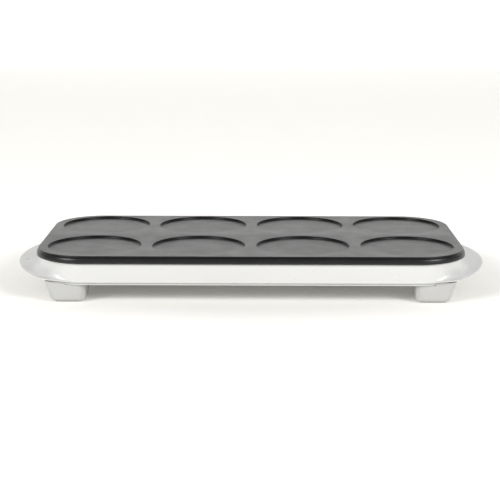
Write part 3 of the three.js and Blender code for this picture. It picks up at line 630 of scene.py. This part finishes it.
for x, y, radius, foot, bore in bosses:
    top = ledge_under + 0.6e-3
    joined = housing.modifiers.new("boss", "BOOLEAN")
    joined.operation = "UNION"
    joined.solver = "EXACT"
    joined.object = turned_piece(
        "boss",
        [(0, foot), (radius - 0.3e-3, foot), (radius, foot + 0.3e-3), (radius, top), (0, top)],
        (x, y, 0),
        32,
    )
    apply_modifiers(housing)
    bpy.data.objects.remove(bpy.data.objects["boss"])
    cut_away(housing, [turned_piece(
        "boss_bore",
        [(0, foot - 5e-3), (bore, foot - 5e-3), (bore, ledge_under - 1e-3), (0, ledge_under - 1e-3)],
        (x, y, 0),
        24,
    )], 50)
finish_piece(housing, white_plastic, "base", ["housing"])

# ---- heat reflector ------------------------------------------------------------------------------
# A tray pressed from aluminised steel sheet, which throws the element's heat up at the plate. It
# hangs by its flange on the housing's ledge, and four small screws hold it there.

tray_skin = 1 * millimetre
tray_half = (tray_high.x - tray_flange, tray_high.y - tray_flange)
tray_corner = 14 * millimetre
press_radius = 3 * millimetre


def tray_ring(grow, z):
    return ring_of(rounded_outline(tray_half[0] + grow, tray_half[1] + grow, tray_corner + grow), z)


def tray_bend(radius, inset):
    """Rings of the pressed bend between the tray's floor and wall, from the floor up."""
    floor_z = tray_low.z + inset
    for degrees in range(0, 91, 18):
        angle = math.radians(degrees)
        yield (radius * math.sin(angle) - radius - inset, floor_z + radius * (1 - math.cos(angle)))


tray_profile = list(tray_bend(press_radius, 0))
tray_profile += [
    (0, tray_high.z - 2.2e-3), (0.25e-3, tray_high.z - 1.35e-3), (0.9e-3, tray_high.z - tray_skin),
    (tray_flange - 0.15e-3, tray_high.z - tray_skin), (tray_flange, tray_high.z - 0.85e-3),
    (tray_flange, tray_high.z - 0.15e-3), (tray_flange - 0.15e-3, tray_high.z),
    (0.9e-3, tray_high.z), (-0.3e-3, tray_high.z - 0.4e-3), (-0.85e-3, tray_high.z - 1.1e-3),
    (-tray_skin, tray_high.z - 2.2e-3),
]
tray_profile += reversed(list(tray_bend(press_radius - tray_skin, tray_skin)))
reflector = piece_from_rings("reflector_pressing", [tray_ring(grow, z) for grow, z in tray_profile], sharp=50)


def hole_cutter(x, y, radius, low, high):
    return turned_piece("hole_cutter", [(0, low), (radius, low), (radius, high), (0, high)], (x, y, 0), 32)


def middle_of(name):
    """The middle of a CAD node in plan, with its lowest and highest corners."""
    low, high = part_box(name)
    return (low.x + high.x) / 2, (low.y + high.y) / 2, low, high


tray_holes = []
for end in ("front", "rear"):
    x, y, low, high = middle_of(f"terminal_bead_{end}")
    bead_hole = (high.x - low.x) / 2 + 0.35e-3
    tray_holes.append(hole_cutter(x, y, bead_hole, tray_low.z - 5e-3, tray_low.z + 5e-3))
    for side in ("left", "right"):
        x, y, low, high = middle_of(f"reflector_screw_{end}_{side}")
        tray_holes.append(hole_cutter(x, y, small_screw_hole, tray_high.z - 5e-3, tray_high.z + 5e-3))
wire_hole_x = 24.2 * millimetre
wire_hole = 4.2 * millimetre
for x in (-wire_hole_x, wire_hole_x):
    tray_holes.append(hole_cutter(x, 0, wire_hole, tray_low.z - 5e-3, tray_low.z + 5e-3))
x, y, low, high = middle_of("earth_screw")
tray_holes.append(hole_cutter(x, y, small_screw_hole, tray_low.z - 5e-3, tray_low.z + 5e-3))
cut_away(reflector, tray_holes, 50)

aluminised, shader, noise, spread, tint, relief, rough = new_material("aluminised_sheet")
shader.inputs["Metallic"].default_value = 1.0
tint(noise(170.0, 5.0), (0.50, 0.51, 0.52), (0.66, 0.66, 0.67))
rough(spread(noise(60.0, 4.0), 0.24, 0.42))
relief(noise(30.0, 2.0), 4e-5)
relief(noise(900.0, 2.0, (1.0, 12.0, 1.0)), 2e-6)
finish_piece(reflector, aluminised, "base", ["heat_reflector"])

# ---- heating element -----------------------------------------------------------------------------
# One length of 6.5 mm sheathed element bent into four runs, its ends turned down through the
# tray. Six steel saddles carry it, and each end has a ceramic bead and a welded terminal pin.

element_radius = 3.25 * millimetre
element_bend = 17 * millimetre
end_bend = 10 * millimetre
element_low, element_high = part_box("heating_element")
element_z = element_high.z - element_radius
pin_x, outer_run = middle_of("terminal_bead_rear")[:2]
inner_run = outer_run - 2 * element_bend
run_end = -element_low.x - element_radius - element_bend
far_turn = element_high.x - element_radius - inner_run


def arc_points(centre, across, up, radius, start, end, steps):
    """Points on an arc in the plane of two directions; angles in degrees."""
    points = []
    for i in range(steps + 1):
        angle = math.radians(start + (end - start) * i / steps)
        points.append(centre + radius * (math.cos(angle) * across + math.sin(angle) * up))
    return points


def tube_piece(name, path, radius, sides=20):
    """A round bar along a path, with flat ends; its section keeps from twisting on the way."""
    mesh = bmesh.new()
    rows = []
    normal = Vector((0, 0, 1))
    for i, point in enumerate(path):
        direction = (path[min(i + 1, len(path) - 1)] - path[max(i - 1, 0)]).normalized()
        normal = (normal - direction * normal.dot(direction))
        if normal.length < 1e-3:
            normal = direction.orthogonal()
        normal.normalize()
        across = direction.cross(normal)
        rows.append([
            mesh.verts.new(point + radius * (
                math.cos(2 * math.pi * k / sides) * normal + math.sin(2 * math.pi * k / sides) * across
            ))
            for k in range(sides)
        ])
    for low, high in zip(rows, rows[1:]):
        for k in range(sides):
            j = (k + 1) % sides
            mesh.faces.new((low[k], low[j], high[j], high[k]))
    mesh.faces.new(rows[0])
    mesh.faces.new(rows[-1])
    bmesh.ops.recalc_face_normals(mesh, faces=mesh.faces)
    return piece_from_bmesh(name, mesh, 60)


x_way, y_way, z_way = Vector((1, 0, 0)), Vector((0, 1, 0)), Vector((0, 0, 1))
half_path = [Vector((pin_x, outer_run, element_low.z))]
half_path += arc_points(
    Vector((pin_x - end_bend, outer_run, element_z - end_bend)), x_way, z_way, end_bend, 0, 90, 12
)
half_path += arc_points(
    Vector((-run_end, outer_run - element_bend, element_z)), x_way, y_way, element_bend, 90, 270, 24
)
element_path = half_path + arc_points(
    Vector((far_turn, 0, element_z)), x_way, y_way, inner_run, 90, -90, 40
)
element_path += [Vector((p.x, -p.y, p.z)) for p in reversed(half_path)]
element = tube_piece("element_sheath_tube", element_path, element_radius, 24)
sheath, shader, noise, spread, tint, relief, rough = new_material("oxidised_sheath")
shader.inputs["Metallic"].default_value = 0.85
tint(noise(45.0, 5.0), (0.10, 0.085, 0.075), (0.22, 0.18, 0.15))
rough(spread(noise(120.0), 0.38, 0.58))
relief(noise(1300.0, 3.0), 9e-6)
finish_piece(element, sheath, "base", ["heating_element"])


def keep_node(name, material, bevel):
    """Finishes a CAD node whose shape is right as it stands, with its sharp edges broken."""
    piece = nodes[name]
    piece.data.materials.clear()
    piece.data.materials.append(material)
    weld = piece.modifiers.new("weld", "WELD")
    weld.merge_threshold = 1e-6
    if bevel:
        broken = piece.modifiers.new("broken_edges", "BEVEL")
        broken.width = bevel
        broken.segments = 2
        broken.limit_method = "ANGLE"
        broken.angle_limit = math.radians(35)


pressed_steel, shader, noise, spread, tint, relief, rough = new_material("plain_pressed_steel")
shader.inputs["Metallic"].default_value = 1.0
tint(noise(260.0, 4.0), (0.36, 0.36, 0.36), (0.5, 0.5, 0.49))
rough(spread(noise(150.0), 0.3, 0.5))
relief(noise(1100.0, 2.0, (1.0, 8.0, 1.0)), 4e-6)
for end in ("rear", "front"):
    for number in (1, 2, 3):
        keep_node(f"element_clip_{end}_{number}", pressed_steel, 0.15e-3)

steatite, shader, noise, spread, tint, relief, rough = new_material("unglazed_steatite")
tint(noise(350.0, 4.0), (0.72, 0.66, 0.54), (0.84, 0.79, 0.68))
rough(spread(noise(200.0), 0.5, 0.72))
relief(noise(1600.0, 3.0), 8e-6)
for end in ("front", "rear"):
    x, y, low, high = middle_of(f"terminal_bead_{end}")
    radius, bore = (high.x - low.x) / 2, 1.7e-3
    bead = turned_piece(
        f"ceramic_bead_{end}",
        [
            (bore, low.z + 0.3e-3), (bore + 0.3e-3, low.z), (radius - 0.9e-3, low.z),
            (radius - 0.25e-3, low.z + 0.25e-3), (radius, low.z + 0.9e-3), (radius, high.z - 0.5e-3),
            (radius - 0.15e-3, high.z - 0.15e-3), (radius - 0.5e-3, high.z), (bore + 0.3e-3, high.z),
            (bore, high.z - 0.3e-3),
        ],
        (x, y, 0),
    )
    finish_piece(bead, steatite, "base", [f"terminal_bead_{end}"])
    x, y, low, high = middle_of(f"terminal_pin_{end}")
    radius = (high.x - low.x) / 2
    pin = turned_piece(
        f"welded_pin_{end}",
        [
            (0, low.z), (radius - 0.4e-3, low.z), (radius - 0.1e-3, low.z + 0.15e-3),
            (radius, low.z + 0.5e-3), (radius, high.z - 0.3e-3), (radius - 0.3e-3, high.z), (0, high.z),
        ],
        (x, y, 0),
        32,
    )
    finish_piece(pin, pressed_steel, "base", [f"terminal_pin_{end}"])

# ---- screws ------------------------------------------------------------------------------------------
# Zinc-plated thread-forming screws with cross recesses: four long ones through the feet, four in
# the reflector's flange and two in the cord clamp. The earth screw in the tray is plain brass.

brass, shader, noise, spread, tint, relief, rough = new_material("plain_brass")
shader.inputs["Metallic"].default_value = 1.0
tint(noise(240.0, 4.0), (0.52, 0.35, 0.11), (0.68, 0.49, 0.19))
rough(spread(noise(160.0), 0.25, 0.42))
relief(noise(1300.0, 2.0), 4e-6)


def screw(name, head_height, shank_radius, pitch, head_up, material):
    """A screw with a rounded head, a cross recess and a rolled thread, in a CAD screw's place."""
    x, y, low, high = middle_of(name)
    length = high.z - low.z
    head_radius = (high.x - low.x) / 2
    core = shank_radius - 0.24 * pitch
    sides = 20
    levels = [(length, head_radius * 0.45), (length - 0.1 * head_height, head_radius * 0.72)]
    levels += [(length - 0.3 * head_height, head_radius * 0.92), (length - 0.6 * head_height, head_radius)]
    levels += [(length - 0.95 * head_height, head_radius), (length - head_height, head_radius * 0.96)]
    levels += [(length - head_height, shank_radius), (length - head_height - 0.3e-3, core)]
    thread_top, thread_end = length - head_height - 0.5e-3, 1.6 * shank_radius
    turns = 5 * max(1, round((thread_top - thread_end) / pitch))
    mesh = bmesh.new()
    rows = []

    def add_row(z, radius_at):
        rows.append([
            mesh.verts.new((
                radius_at(k) * math.cos(2 * math.pi * k / sides),
                radius_at(k) * math.sin(2 * math.pi * k / sides),
                z,
            ))
            for k in range(sides)
        ])
    for z, radius in levels:
        add_row(z, lambda k, radius=radius: radius)
    for i in range(turns + 1):
        z = thread_top + (thread_end - thread_top) * i / turns
        fade = min(1.0, i / 4, (turns - i) / 4)

        def radius_at(k, z=z, fade=fade):
            phase = (z / pitch - k / sides) % 1.0
            crest = max(0.0, 1 - abs(phase - 0.5) / 0.28)
            return core + (shank_radius - core) * crest * fade
        add_row(z, radius_at)
    add_row(0.4 * shank_radius, lambda k: core * 0.45)
    for high_row, low_row in zip(rows, rows[1:]):
        for k in range(sides):
            j = (k + 1) % sides
            mesh.faces.new((low_row[k], low_row[j], high_row[j], high_row[k]))
    top = mesh.verts.new((0, 0, length))
    tip = mesh.verts.new((0, 0, 0))
    for k in range(sides):
        j = (k + 1) % sides
        mesh.faces.new((rows[0][k], rows[0][j], top))
        mesh.faces.new((rows[-1][j], rows[-1][k], tip))
    bmesh.ops.recalc_face_normals(mesh, faces=mesh.faces)
    made = piece_from_bmesh(f"{name}_turned", mesh, 35)
    reach, half = 0.5 * head_radius, 0.11 * head_radius
    depth = length - 0.55 * head_height
    cut_away(made, [
        box_piece("recess", (-reach, -half, depth), (reach, half, length + 1e-3)),
        box_piece("recess", (-half, -reach, depth), (half, reach, length + 1e-3)),
    ], 35)
    if head_up:
        made.data.transform(Matrix.Translation((x, y, low.z)))
    else:
        made.data.transform(Matrix.Translation((x, y, high.z)) @ Matrix.Rotation(math.pi, 4, "X"))
    finish_piece(made, material, "base", [name])


for corner in foot_screw_places:
    screw(f"foot_screw_{corner}", 2.4e-3, 1.9e-3, 1.5e-3, False, zinc)
for end in ("front", "rear"):
    for side in ("left", "right"):
        screw(f"reflector_screw_{end}_{side}", 1.8e-3, 1.4e-3, 1.1e-3, True, zinc)
for side in ("left", "right"):
    screw(f"clamp_screw_{side}", 1.8e-3, 1.4e-3, 1.1e-3, False, zinc)
screw("earth_screw", 1.8e-3, 1.4e-3, 0.7e-3, False, brass)

# ---- thermostat ----------------------------------------------------------------------------------------
# A snap-disc thermostat with a steatite body and an aluminium cap close under the plate. Two
# tabs carry its wires, and a bent steel bracket stands it on the tray's floor.

body_height = 6 * millimetre
cap_radius, tab_half = 8 * millimetre, 2 * millimetre
thermostat_low, thermostat_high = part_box("thermostat")
body_top = thermostat_low.z + body_height
thermostat_body = turned_piece(
    "thermostat_body",
    [
        (0, thermostat_low.z), (cap_radius - 1.4e-3, thermostat_low.z),
        (cap_radius - 0.8e-3, thermostat_low.z + 0.4e-3), (cap_radius - 0.7e-3, thermostat_low.z + 1e-3),
        (cap_radius - 0.7e-3, body_top - 0.02e-3), (0, body_top - 0.02e-3),
    ],
    (0, 0, 0),
)
finish_piece(thermostat_body, steatite, "base", ["thermostat"])
thermostat_cap = turned_piece(
    "thermostat_cap",
    [
        (0, body_top), (cap_radius - 0.3e-3, body_top), (cap_radius, body_top + 0.3e-3),
        (cap_radius, body_top + 0.9e-3), (cap_radius - 0.35e-3, body_top + 1.2e-3),
        (cap_radius - 0.35e-3, thermostat_high.z - 1.1e-3),
        (cap_radius - 0.75e-3, thermostat_high.z - 0.35e-3),
        (cap_radius - 1.4e-3, thermostat_high.z), (0, thermostat_high.z),
    ],
    (0, 0, 0),
)
finish_piece(thermostat_cap, aluminised, "base", ["thermostat"])
tab_z = thermostat_low.z + 2.5e-3
for side, side_name in ((-1, "left"), (1, "right")):
    near, far = side * (cap_radius - 1.2e-3), side * thermostat_high.x
    tab = box_piece(
        f"thermostat_tab_{side_name}",
        (min(near, far), -tab_half, tab_z - 0.4e-3), (max(near, far), tab_half, tab_z + 0.4e-3),
        bevel=0.2e-3,
    )
    finish_piece(tab, pressed_steel, "base", ["thermostat"])
keep_node("thermostat_bracket", pressed_steel, 0.2e-3)

# ---- cord entry --------------------------------------------------------------------------------------------
# A dark grey polyamide gland that snaps into the rear wall, a bar that two screws pull onto the
# cord, and a ceramic terminal block behind it. No cord is fitted.

dark_polyamide = moulded_plastic("dark_grey_polyamide", (0.055, 0.055, 0.06), (0.08, 0.08, 0.085), 0.48, 9e-6)
gland_bore, gland_body, gland_collar = 3.7e-3, 5.6e-3, 6.0e-3
gland_flange = (gland_high.x - gland_low.x) / 2
wall_inside = wall_outside - wall
gland = turned_piece(
    "cord_gland_moulding",
    [
        (gland_bore + 0.5e-3, gland_low.y), (gland_body - 0.9e-3, gland_low.y),
        (gland_body - 0.6e-3, gland_low.y + 0.3e-3), (gland_collar, wall_inside - 1.9e-3),
        (gland_collar, wall_inside - 0.35e-3), (gland_body, wall_inside - 0.3e-3),
        (gland_body, wall_outside + 0.3e-3), (gland_flange, wall_outside + 0.3e-3),
        (gland_flange, gland_high.y - 1e-3), (gland_flange - 0.25e-3, gland_high.y - 0.4e-3),
        (gland_flange - 0.9e-3, gland_high.y - 0.05e-3), (gland_flange - 1.4e-3, gland_high.y),
        (gland_bore + 1.1e-3, gland_high.y), (gland_bore + 0.4e-3, gland_high.y - 0.3e-3),
        (gland_bore, gland_high.y - 1e-3), (gland_bore, gland_low.y + 0.8e-3),
    ],
    (gland_place[0], 0, gland_place[1]),
    56,
    "Y",
)
finish_piece(gland, dark_polyamide, "base", ["cord_gland"])
keep_node("cord_clamp", dark_polyamide, 0.5e-3)
block_ceramic = moulded_plastic("terminal_block_moulding", (0.70, 0.67, 0.59), (0.80, 0.78, 0.71), 0.5, 8e-6)
keep_node("terminal_block", block_ceramic, 0.25e-3)

# ---- rocker switch --------------------------------------------------------------------------------------------
# A snap-in switch in the rear wall: a dark frame and can with two tabs, and a polished red rocker
# that turns on two moulded pins. It is shown pressed to one side.

keep_node("switch_body", dark_polyamide, 0.3e-3)
red_gloss = moulded_plastic("red_polycarbonate", (0.40, 0.016, 0.012), (0.48, 0.024, 0.018), 0.16, 1e-6)
keep_node("switch_rocker", red_gloss, 0.35e-3)

# ---- wiring ---------------------------------------------------------------------------------------------------
# Silicone-insulated wires from the terminal block to the switch, thermostat and element, and the
# thermal fuse in its woven glass sleeve in the neutral lead. They lie in the housing's channel.


def silicone_wire(name, dark, light):
    material, shader, noise, spread, tint, relief, rough = new_material(name)
    tint(noise(90.0, 3.0), dark, light)
    rough(spread(noise(220.0), 0.42, 0.6))
    relief(noise(1500.0, 2.0), 5e-6)
    return material


brown_wire = silicone_wire("brown_wire_insulation", (0.16, 0.055, 0.02), (0.24, 0.085, 0.03))
blue_wire = silicone_wire("blue_wire_insulation", (0.022, 0.085, 0.32), (0.035, 0.125, 0.42))
green_wire = silicone_wire("green_wire_insulation", (0.085, 0.26, 0.03), (0.13, 0.36, 0.05))
wires = {
    "wire_live": brown_wire, "wire_switched": brown_wire, "wire_heater": brown_wire,
    "wire_neutral": blue_wire, "wire_neutral_fused": blue_wire, "wire_earth": green_wire,
}
for name, material in wires.items():
    keep_node(name, material, 0)
    rounding = nodes[name].modifiers.new("rounding", "SUBSURF")
    rounding.levels = 2
    rounding.render_levels = 2

woven_glass, shader, noise, spread, tint, relief, rough = new_material("woven_glass_sleeve")
tint(noise(500.0, 3.0), (0.58, 0.52, 0.39), (0.74, 0.69, 0.56))
rough(spread(noise(240.0), 0.72, 0.9))
relief(noise(700.0, 2.0, (1.0, 3.0, 3.0)), 6e-5)
fuse_low, fuse_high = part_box("thermal_fuse")
fuse_radius = (fuse_high.z - fuse_low.z) / 2
fuse_middle = (fuse_low + fuse_high) / 2
fuse_half = (fuse_high.x - fuse_low.x) / 2
fuse = turned_piece(
    "thermal_fuse_sleeve",
    [
        (0, -fuse_half), (fuse_radius * 0.55, -fuse_half), (fuse_radius * 0.82, -fuse_half + 0.8e-3),
        (fuse_radius * 0.86, -fuse_half + 6e-3), (fuse_radius, -fuse_half + 9e-3),
        (fuse_radius, fuse_half - 9e-3), (fuse_radius * 0.86, fuse_half - 6e-3),
        (fuse_radius * 0.82, fuse_half - 0.8e-3), (fuse_radius * 0.55, fuse_half), (0, fuse_half),
    ],
    (0, 0, 0),
    40,
)
fuse.data.transform(Matrix.Translation(fuse_middle) @ Matrix.Rotation(math.pi / 2, 4, "Y"))
finish_piece(fuse, woven_glass, "base", ["thermal_fuse"])

# ---- cooking plate -------------------------------------------------------------------------------
# One aluminium casting with eight shallow round moulds and a rolled skirt that overhangs the
# housing. It is shot-blasted, sprayed with dark grey non-stick and stoved; it lifts straight off.

columns, rows = 4, 2
end_margin = 6 * millimetre
side_margin = 1.5 * millimetre
pitch_x = 2 * (plate_half_length - end_margin) / columns
pitch_y = 2 * (plate_half_depth - side_margin) / rows
mould_radius = 51.5 * millimetre
mould_depth = 2.6 * millimetre
top_inset = 2.9 * millimetre


def to_outline(point, direction, inset):
    """Where a ray from a point inside the plate meets the plate's outline, moved in by inset."""
    half_x, half_y = plate_half_length - inset, plate_half_depth - inset
    radius = plate_corner - inset

    def outside(distance):
        px, py = abs(point.x + direction.x * distance), abs(point.y + direction.y * distance)
        cx, cy = half_x - radius, half_y - radius
        if px > cx and py > cy:
            return math.hypot(px - cx, py - cy) > radius
        return px > half_x or py > half_y
    low, high = 0.0, 2 * plate_half_length
    for _ in range(44):
        middle = (low + high) / 2
        if outside(middle):
            high = middle
        else:
            low = middle
    return point + direction * low


def cell_edge(centre, column, row, steps=24):
    """Points round one mould's share of the plate, out to the plate's edge where it has one."""
    outer_x = -1 if column == 0 else (1 if column == columns - 1 else 0)
    outer_y = 1 if row == rows - 1 else -1
    edge = []
    corners = [(1, -1), (1, 1), (-1, 1), (-1, -1)]
    for side in range(4):
        a, b = Vector(corners[side]), Vector(corners[(side + 1) % 4])
        for i in range(steps):
            unit = a.lerp(b, i / steps)
            offset = Vector((unit.x * pitch_x / 2, unit.y * pitch_y / 2))
            point = centre + offset
            on_end = outer_x and abs(unit.x - outer_x) < 1e-9
            on_side = abs(unit.y - outer_y) < 1e-9
            if outer_x and unit.x * outer_x > -1e-9 and unit.y * outer_y > -1e-9 and (on_end or on_side):
                point = to_outline(centre, offset.normalized(), top_inset)
            elif on_side:
                point = to_outline(Vector((point.x, 0)), Vector((0, outer_y)), top_inset)
            elif on_end:
                point = to_outline(Vector((0, point.y)), Vector((outer_x, 0)), top_inset)
            edge.append((point, on_end or on_side))
    return edge


def outline_normal(point):
    cx, cy = plate_half_length - plate_corner, plate_half_depth - plate_corner
    dx, dy = abs(point.x) - cx, abs(point.y) - cy
    if dx > 0 and dy > 0:
        normal = Vector((dx, dy)).normalized()
    else:
        normal = Vector((1, 0)) if dx > 0 and abs(point.x) > cx and dy <= 0 else Vector((0, 1))
    return Vector((math.copysign(normal.x, point.x), math.copysign(normal.y, point.y)))


# Each profile pairs a distance outwards with a height from the plate's top, in millimetres.
mould_profile = [(0.25, 0.0), (0.1, -0.02), (0.02, -0.12), (0.0, -0.3), (-0.06, -1.2)]
mould_profile += [(-0.12, -2.0), (-0.25, -2.36), (-0.5, -2.54), (-0.9, -2.6)]
skirt_profile = [
    (0.3, 0.0), (0.6, -0.08), (0.8, -0.28), (0.85, -0.55), (0.7, -0.8), (0.38, -0.95),
    (0.22, -1.2), (0.28, -1.5), (0.6, -1.78), (1.1, -2.0), (1.65, -2.35), (2.1, -2.95), (2.4, -3.8),
    (2.62, -4.8), (2.8, -5.8), (2.88, -6.6), (2.9, -7.1), (2.8, -7.5), (2.55, -7.85), (2.1, -8.05),
    (1.7, -8.1), (-0.6, -8.1), (-0.95, -7.95), (-1.0, -7.6), (-1.0, -4.2), (-1.25, -3.75), (-1.8, -3.6),
]
under_profile = [(3.4, -3.6), (2.8, -3.75), (2.0, -4.9), (1.2, -5.4)]  # under each mould


def cooking_plate():
    mesh = bmesh.new()
    found = {}

    def vertex(x, y, z):
        key = (round(x * 2e5), round(y * 2e5), round(z * 2e5))
        if key not in found:
            found[key] = mesh.verts.new((x, y, z))
        return found[key]

    def band(first, second):
        for i in range(len(first)):
            j = (i + 1) % len(first)
            corners = list(dict.fromkeys([first[i], first[j], second[j], second[i]]))
            if len(corners) > 2:
                mesh.faces.new(corners)

    def disc(outline, centre, directions, z):
        """A flat round floor inside an outline."""
        for share in (0.6, 0.3):
            radius = mould_radius * share
            ring = [vertex(centre.x + d.x * radius, centre.y + d.y * radius, z) for d in directions]
            band(outline, ring)
            outline = ring
        hub = vertex(centre.x, centre.y, z)
        for i in range(len(outline)):
            mesh.faces.new((outline[i], outline[(i + 1) % len(outline)], hub))

    rim_edges = []
    moulds = []
    for column in range(columns):
        for row in range(rows):
            centre = Vector((
                (column - (columns - 1) / 2) * pitch_x,
                (row - (rows - 1) / 2) * pitch_y,
            ))
            edge = cell_edge(centre, column, row)
            directions = [(p - centre).normalized() for p, _ in edge]
            outer = [vertex(p.x, p.y, plate_top) for p, _ in edge]
            moulds.append((centre, directions, outer))
            previous = outer
            for out, drop in mould_profile:
                radius = mould_radius + out * millimetre
                ring = [
                    vertex(centre.x + d.x * radius, centre.y + d.y * radius, plate_top + drop * millimetre)
                    for d in directions
                ]
                band(previous, ring)
                previous = ring
            disc(previous, centre, directions, plate_top - mould_depth)
            for i in range(len(edge)):
                j = (i + 1) % len(edge)
                if edge[i][1] and edge[j][1] and outer[i] is not outer[j]:
                    rim_edges.append((outer[i], outer[j]))
    # the rim's vertices in order round the plate
    following = dict(rim_edges)
    start = rim_edges[0][0]
    rim = [start]
    while following[rim[-1]] is not start:
        rim.append(following[rim[-1]])
    previous = rim
    normals = [outline_normal(v.co) for v in rim]
    for out, drop in skirt_profile:
        ring = [
            mesh.verts.new((
                v.co.x + n.x * out * millimetre,
                v.co.y + n.y * out * millimetre,
                plate_top + drop * millimetre,
            ))
            for v, n in zip(rim, normals)
        ]
        band(previous, ring)
        previous = ring
    # the underside: a shallow round boss below each mould
    under_rim = dict(zip(rim, previous))
    under = plate_top + skirt_profile[-1][1] * millimetre
    for centre, directions, outer in moulds:
        previous = [under_rim.get(v) or vertex(v.co.x, v.co.y, under) for v in outer]
        for out, drop in under_profile:
            radius = mould_radius + out * millimetre
            ring = [
                vertex(centre.x + d.x * radius, centre.y + d.y * radius, plate_top + drop * millimetre)
                for d in directions
            ]
            band(previous, ring)
            previous = ring
        disc(previous, centre, directions, plate_top + under_profile[-1][1] * millimetre)
    bmesh.ops.recalc_face_normals(mesh, faces=mesh.faces)
    return piece_from_bmesh("cooking_plate_casting", mesh, 50)


plate = cooking_plate()
lug_radius = 3 * millimetre  # lugs under the moulds that press the reflector's flange down
lug_y = middle_of("reflector_screw_rear_right")[1]
lug_foot = tray_high.z + 0.3 * millimetre
lug_top = plate_top - 4.8 * millimetre
lugs = [
    turned_piece(
        "lug",
        [
            (0, lug_foot), (lug_radius - 0.5e-3, lug_foot), (lug_radius, lug_foot + 0.5e-3),
            (lug_radius, lug_top), (0, lug_top),
        ],
        ((column - (columns - 1) / 2) * pitch_x, side * lug_y, 0),
        24,
    )
    for column in range(columns) for side in (-1, 1)
]
for lug in lugs:
    joined = plate.modifiers.new("lug", "BOOLEAN")
    joined.object = lug
    joined.operation = "UNION"
    joined.solver = "EXACT"
apply_modifiers(plate)
for lug in lugs:
    bpy.data.objects.remove(lug)
soften(plate, 50)
non_stick, shader, noise, spread, tint, relief, rough = new_material("dark_non_stick")
tint(noise(160.0, 5.0), (0.006, 0.006, 0.0065), (0.009, 0.009, 0.0095))
rough(spread(noise(45.0, 4.0), 0.31, 0.37))
relief(noise(2400.0, 3.0), 7e-6)
relief(noise(420.0, 2.0), 8e-6)
shader.inputs["IOR"].default_value = 1.44
finish_piece(plate, non_stick, "plate", ["griddle_plate"])

# ---- table and studio light --------------------------------------------------------------------
# A white table before a tall lit wall; the table glows, less strongly round the griddle, as a painted shadow.
# Two soft boxes stand to the left and right of the camera, with a darker gap between them.

floor_mesh = bmesh.new()
bmesh.ops.create_grid(floor_mesh, x_segments=1, y_segments=1, size=30)
floor = piece_from_bmesh("studio_floor", floor_mesh)
floor_paint, shader, noise, spread, tint, relief, rough = new_material("studio_white_painted_shadow")
tint(noise(2.0), (0.94, 0.93, 0.90), (0.95, 0.94, 0.91))
shader.inputs["Emission Color"].default_value = (1, 0.98, 0.94, 1)
tree = floor_paint.node_tree
# The table's glow is weak close round the griddle and stronger further out: a painted shadow round the griddle,
# added to the lamps' real shadow.
squeezed = tree.nodes.new("ShaderNodeVectorMath")
squeezed.operation = "MULTIPLY"
squeezed.inputs[1].default_value = (0.62, 1, 1)
tree.links.new(tree.nodes["Texture Coordinate"].outputs["Object"], squeezed.inputs[0])
from_middle = tree.nodes.new("ShaderNodeVectorMath")
from_middle.operation = "LENGTH"
tree.links.new(squeezed.outputs["Vector"], from_middle.inputs[0])
painted_shadow_glow = spread(from_middle.outputs["Value"], 0.07, 0.32, 0.13, 0.24)
tree.links.new(painted_shadow_glow, shader.inputs["Emission Strength"])
shader.inputs["Roughness"].default_value = 0.9
shader.inputs["Specular IOR Level"].default_value = 0.1
floor.data.materials.append(floor_paint)

wall_mesh = bmesh.new()
bmesh.ops.create_grid(wall_mesh, x_segments=1, y_segments=1, size=6)
wall_mesh.transform(Matrix.Translation((0, 3.2, 4)) @ Matrix.Rotation(math.pi / 2, 4, "X"))
lit_wall = piece_from_bmesh("studio_wall", wall_mesh)
wall_paint = bpy.data.materials.new("lit_white_wall")
wall_paint.use_nodes = True
shader = wall_paint.node_tree.nodes["Principled BSDF"]
shader.inputs["Base Color"].default_value = (0.9, 0.9, 0.9, 1)
shader.inputs["Emission Color"].default_value = (1, 1, 1, 1)
shader.inputs["Emission Strength"].default_value = 0.42
lit_wall.data.materials.append(wall_paint)

world = bpy.data.worlds.new("studio_walls")
world.use_nodes = True
world.node_tree.nodes["Background"].inputs["Color"].default_value = (1, 1, 1, 1)
world.node_tree.nodes["Background"].inputs["Strength"].default_value = 0.2
bpy.context.scene.world = world


def soft_light(name, place, aim, width, height, power):
    light = bpy.data.lights.new(name, "AREA")
    light.shape = "RECTANGLE"
    light.size = width
    light.size_y = height
    light.energy = power
    lamp = bpy.data.objects.new(name, light)
    bpy.context.scene.collection.objects.link(lamp)
    direction = Vector(aim) - Vector(place)
    lamp.rotation_mode = "QUATERNION"
    lamp.rotation_quaternion = direction.to_track_quat("-Z", "Y")
    lamp.location = place


for side, name in ((-1, "left_softbox"), (1, "right_softbox")):
    soft_light(name, (side * 1.9, -1.9, 1.35), (0, 0, 0.03), 1.1, 0.9, 52.0)
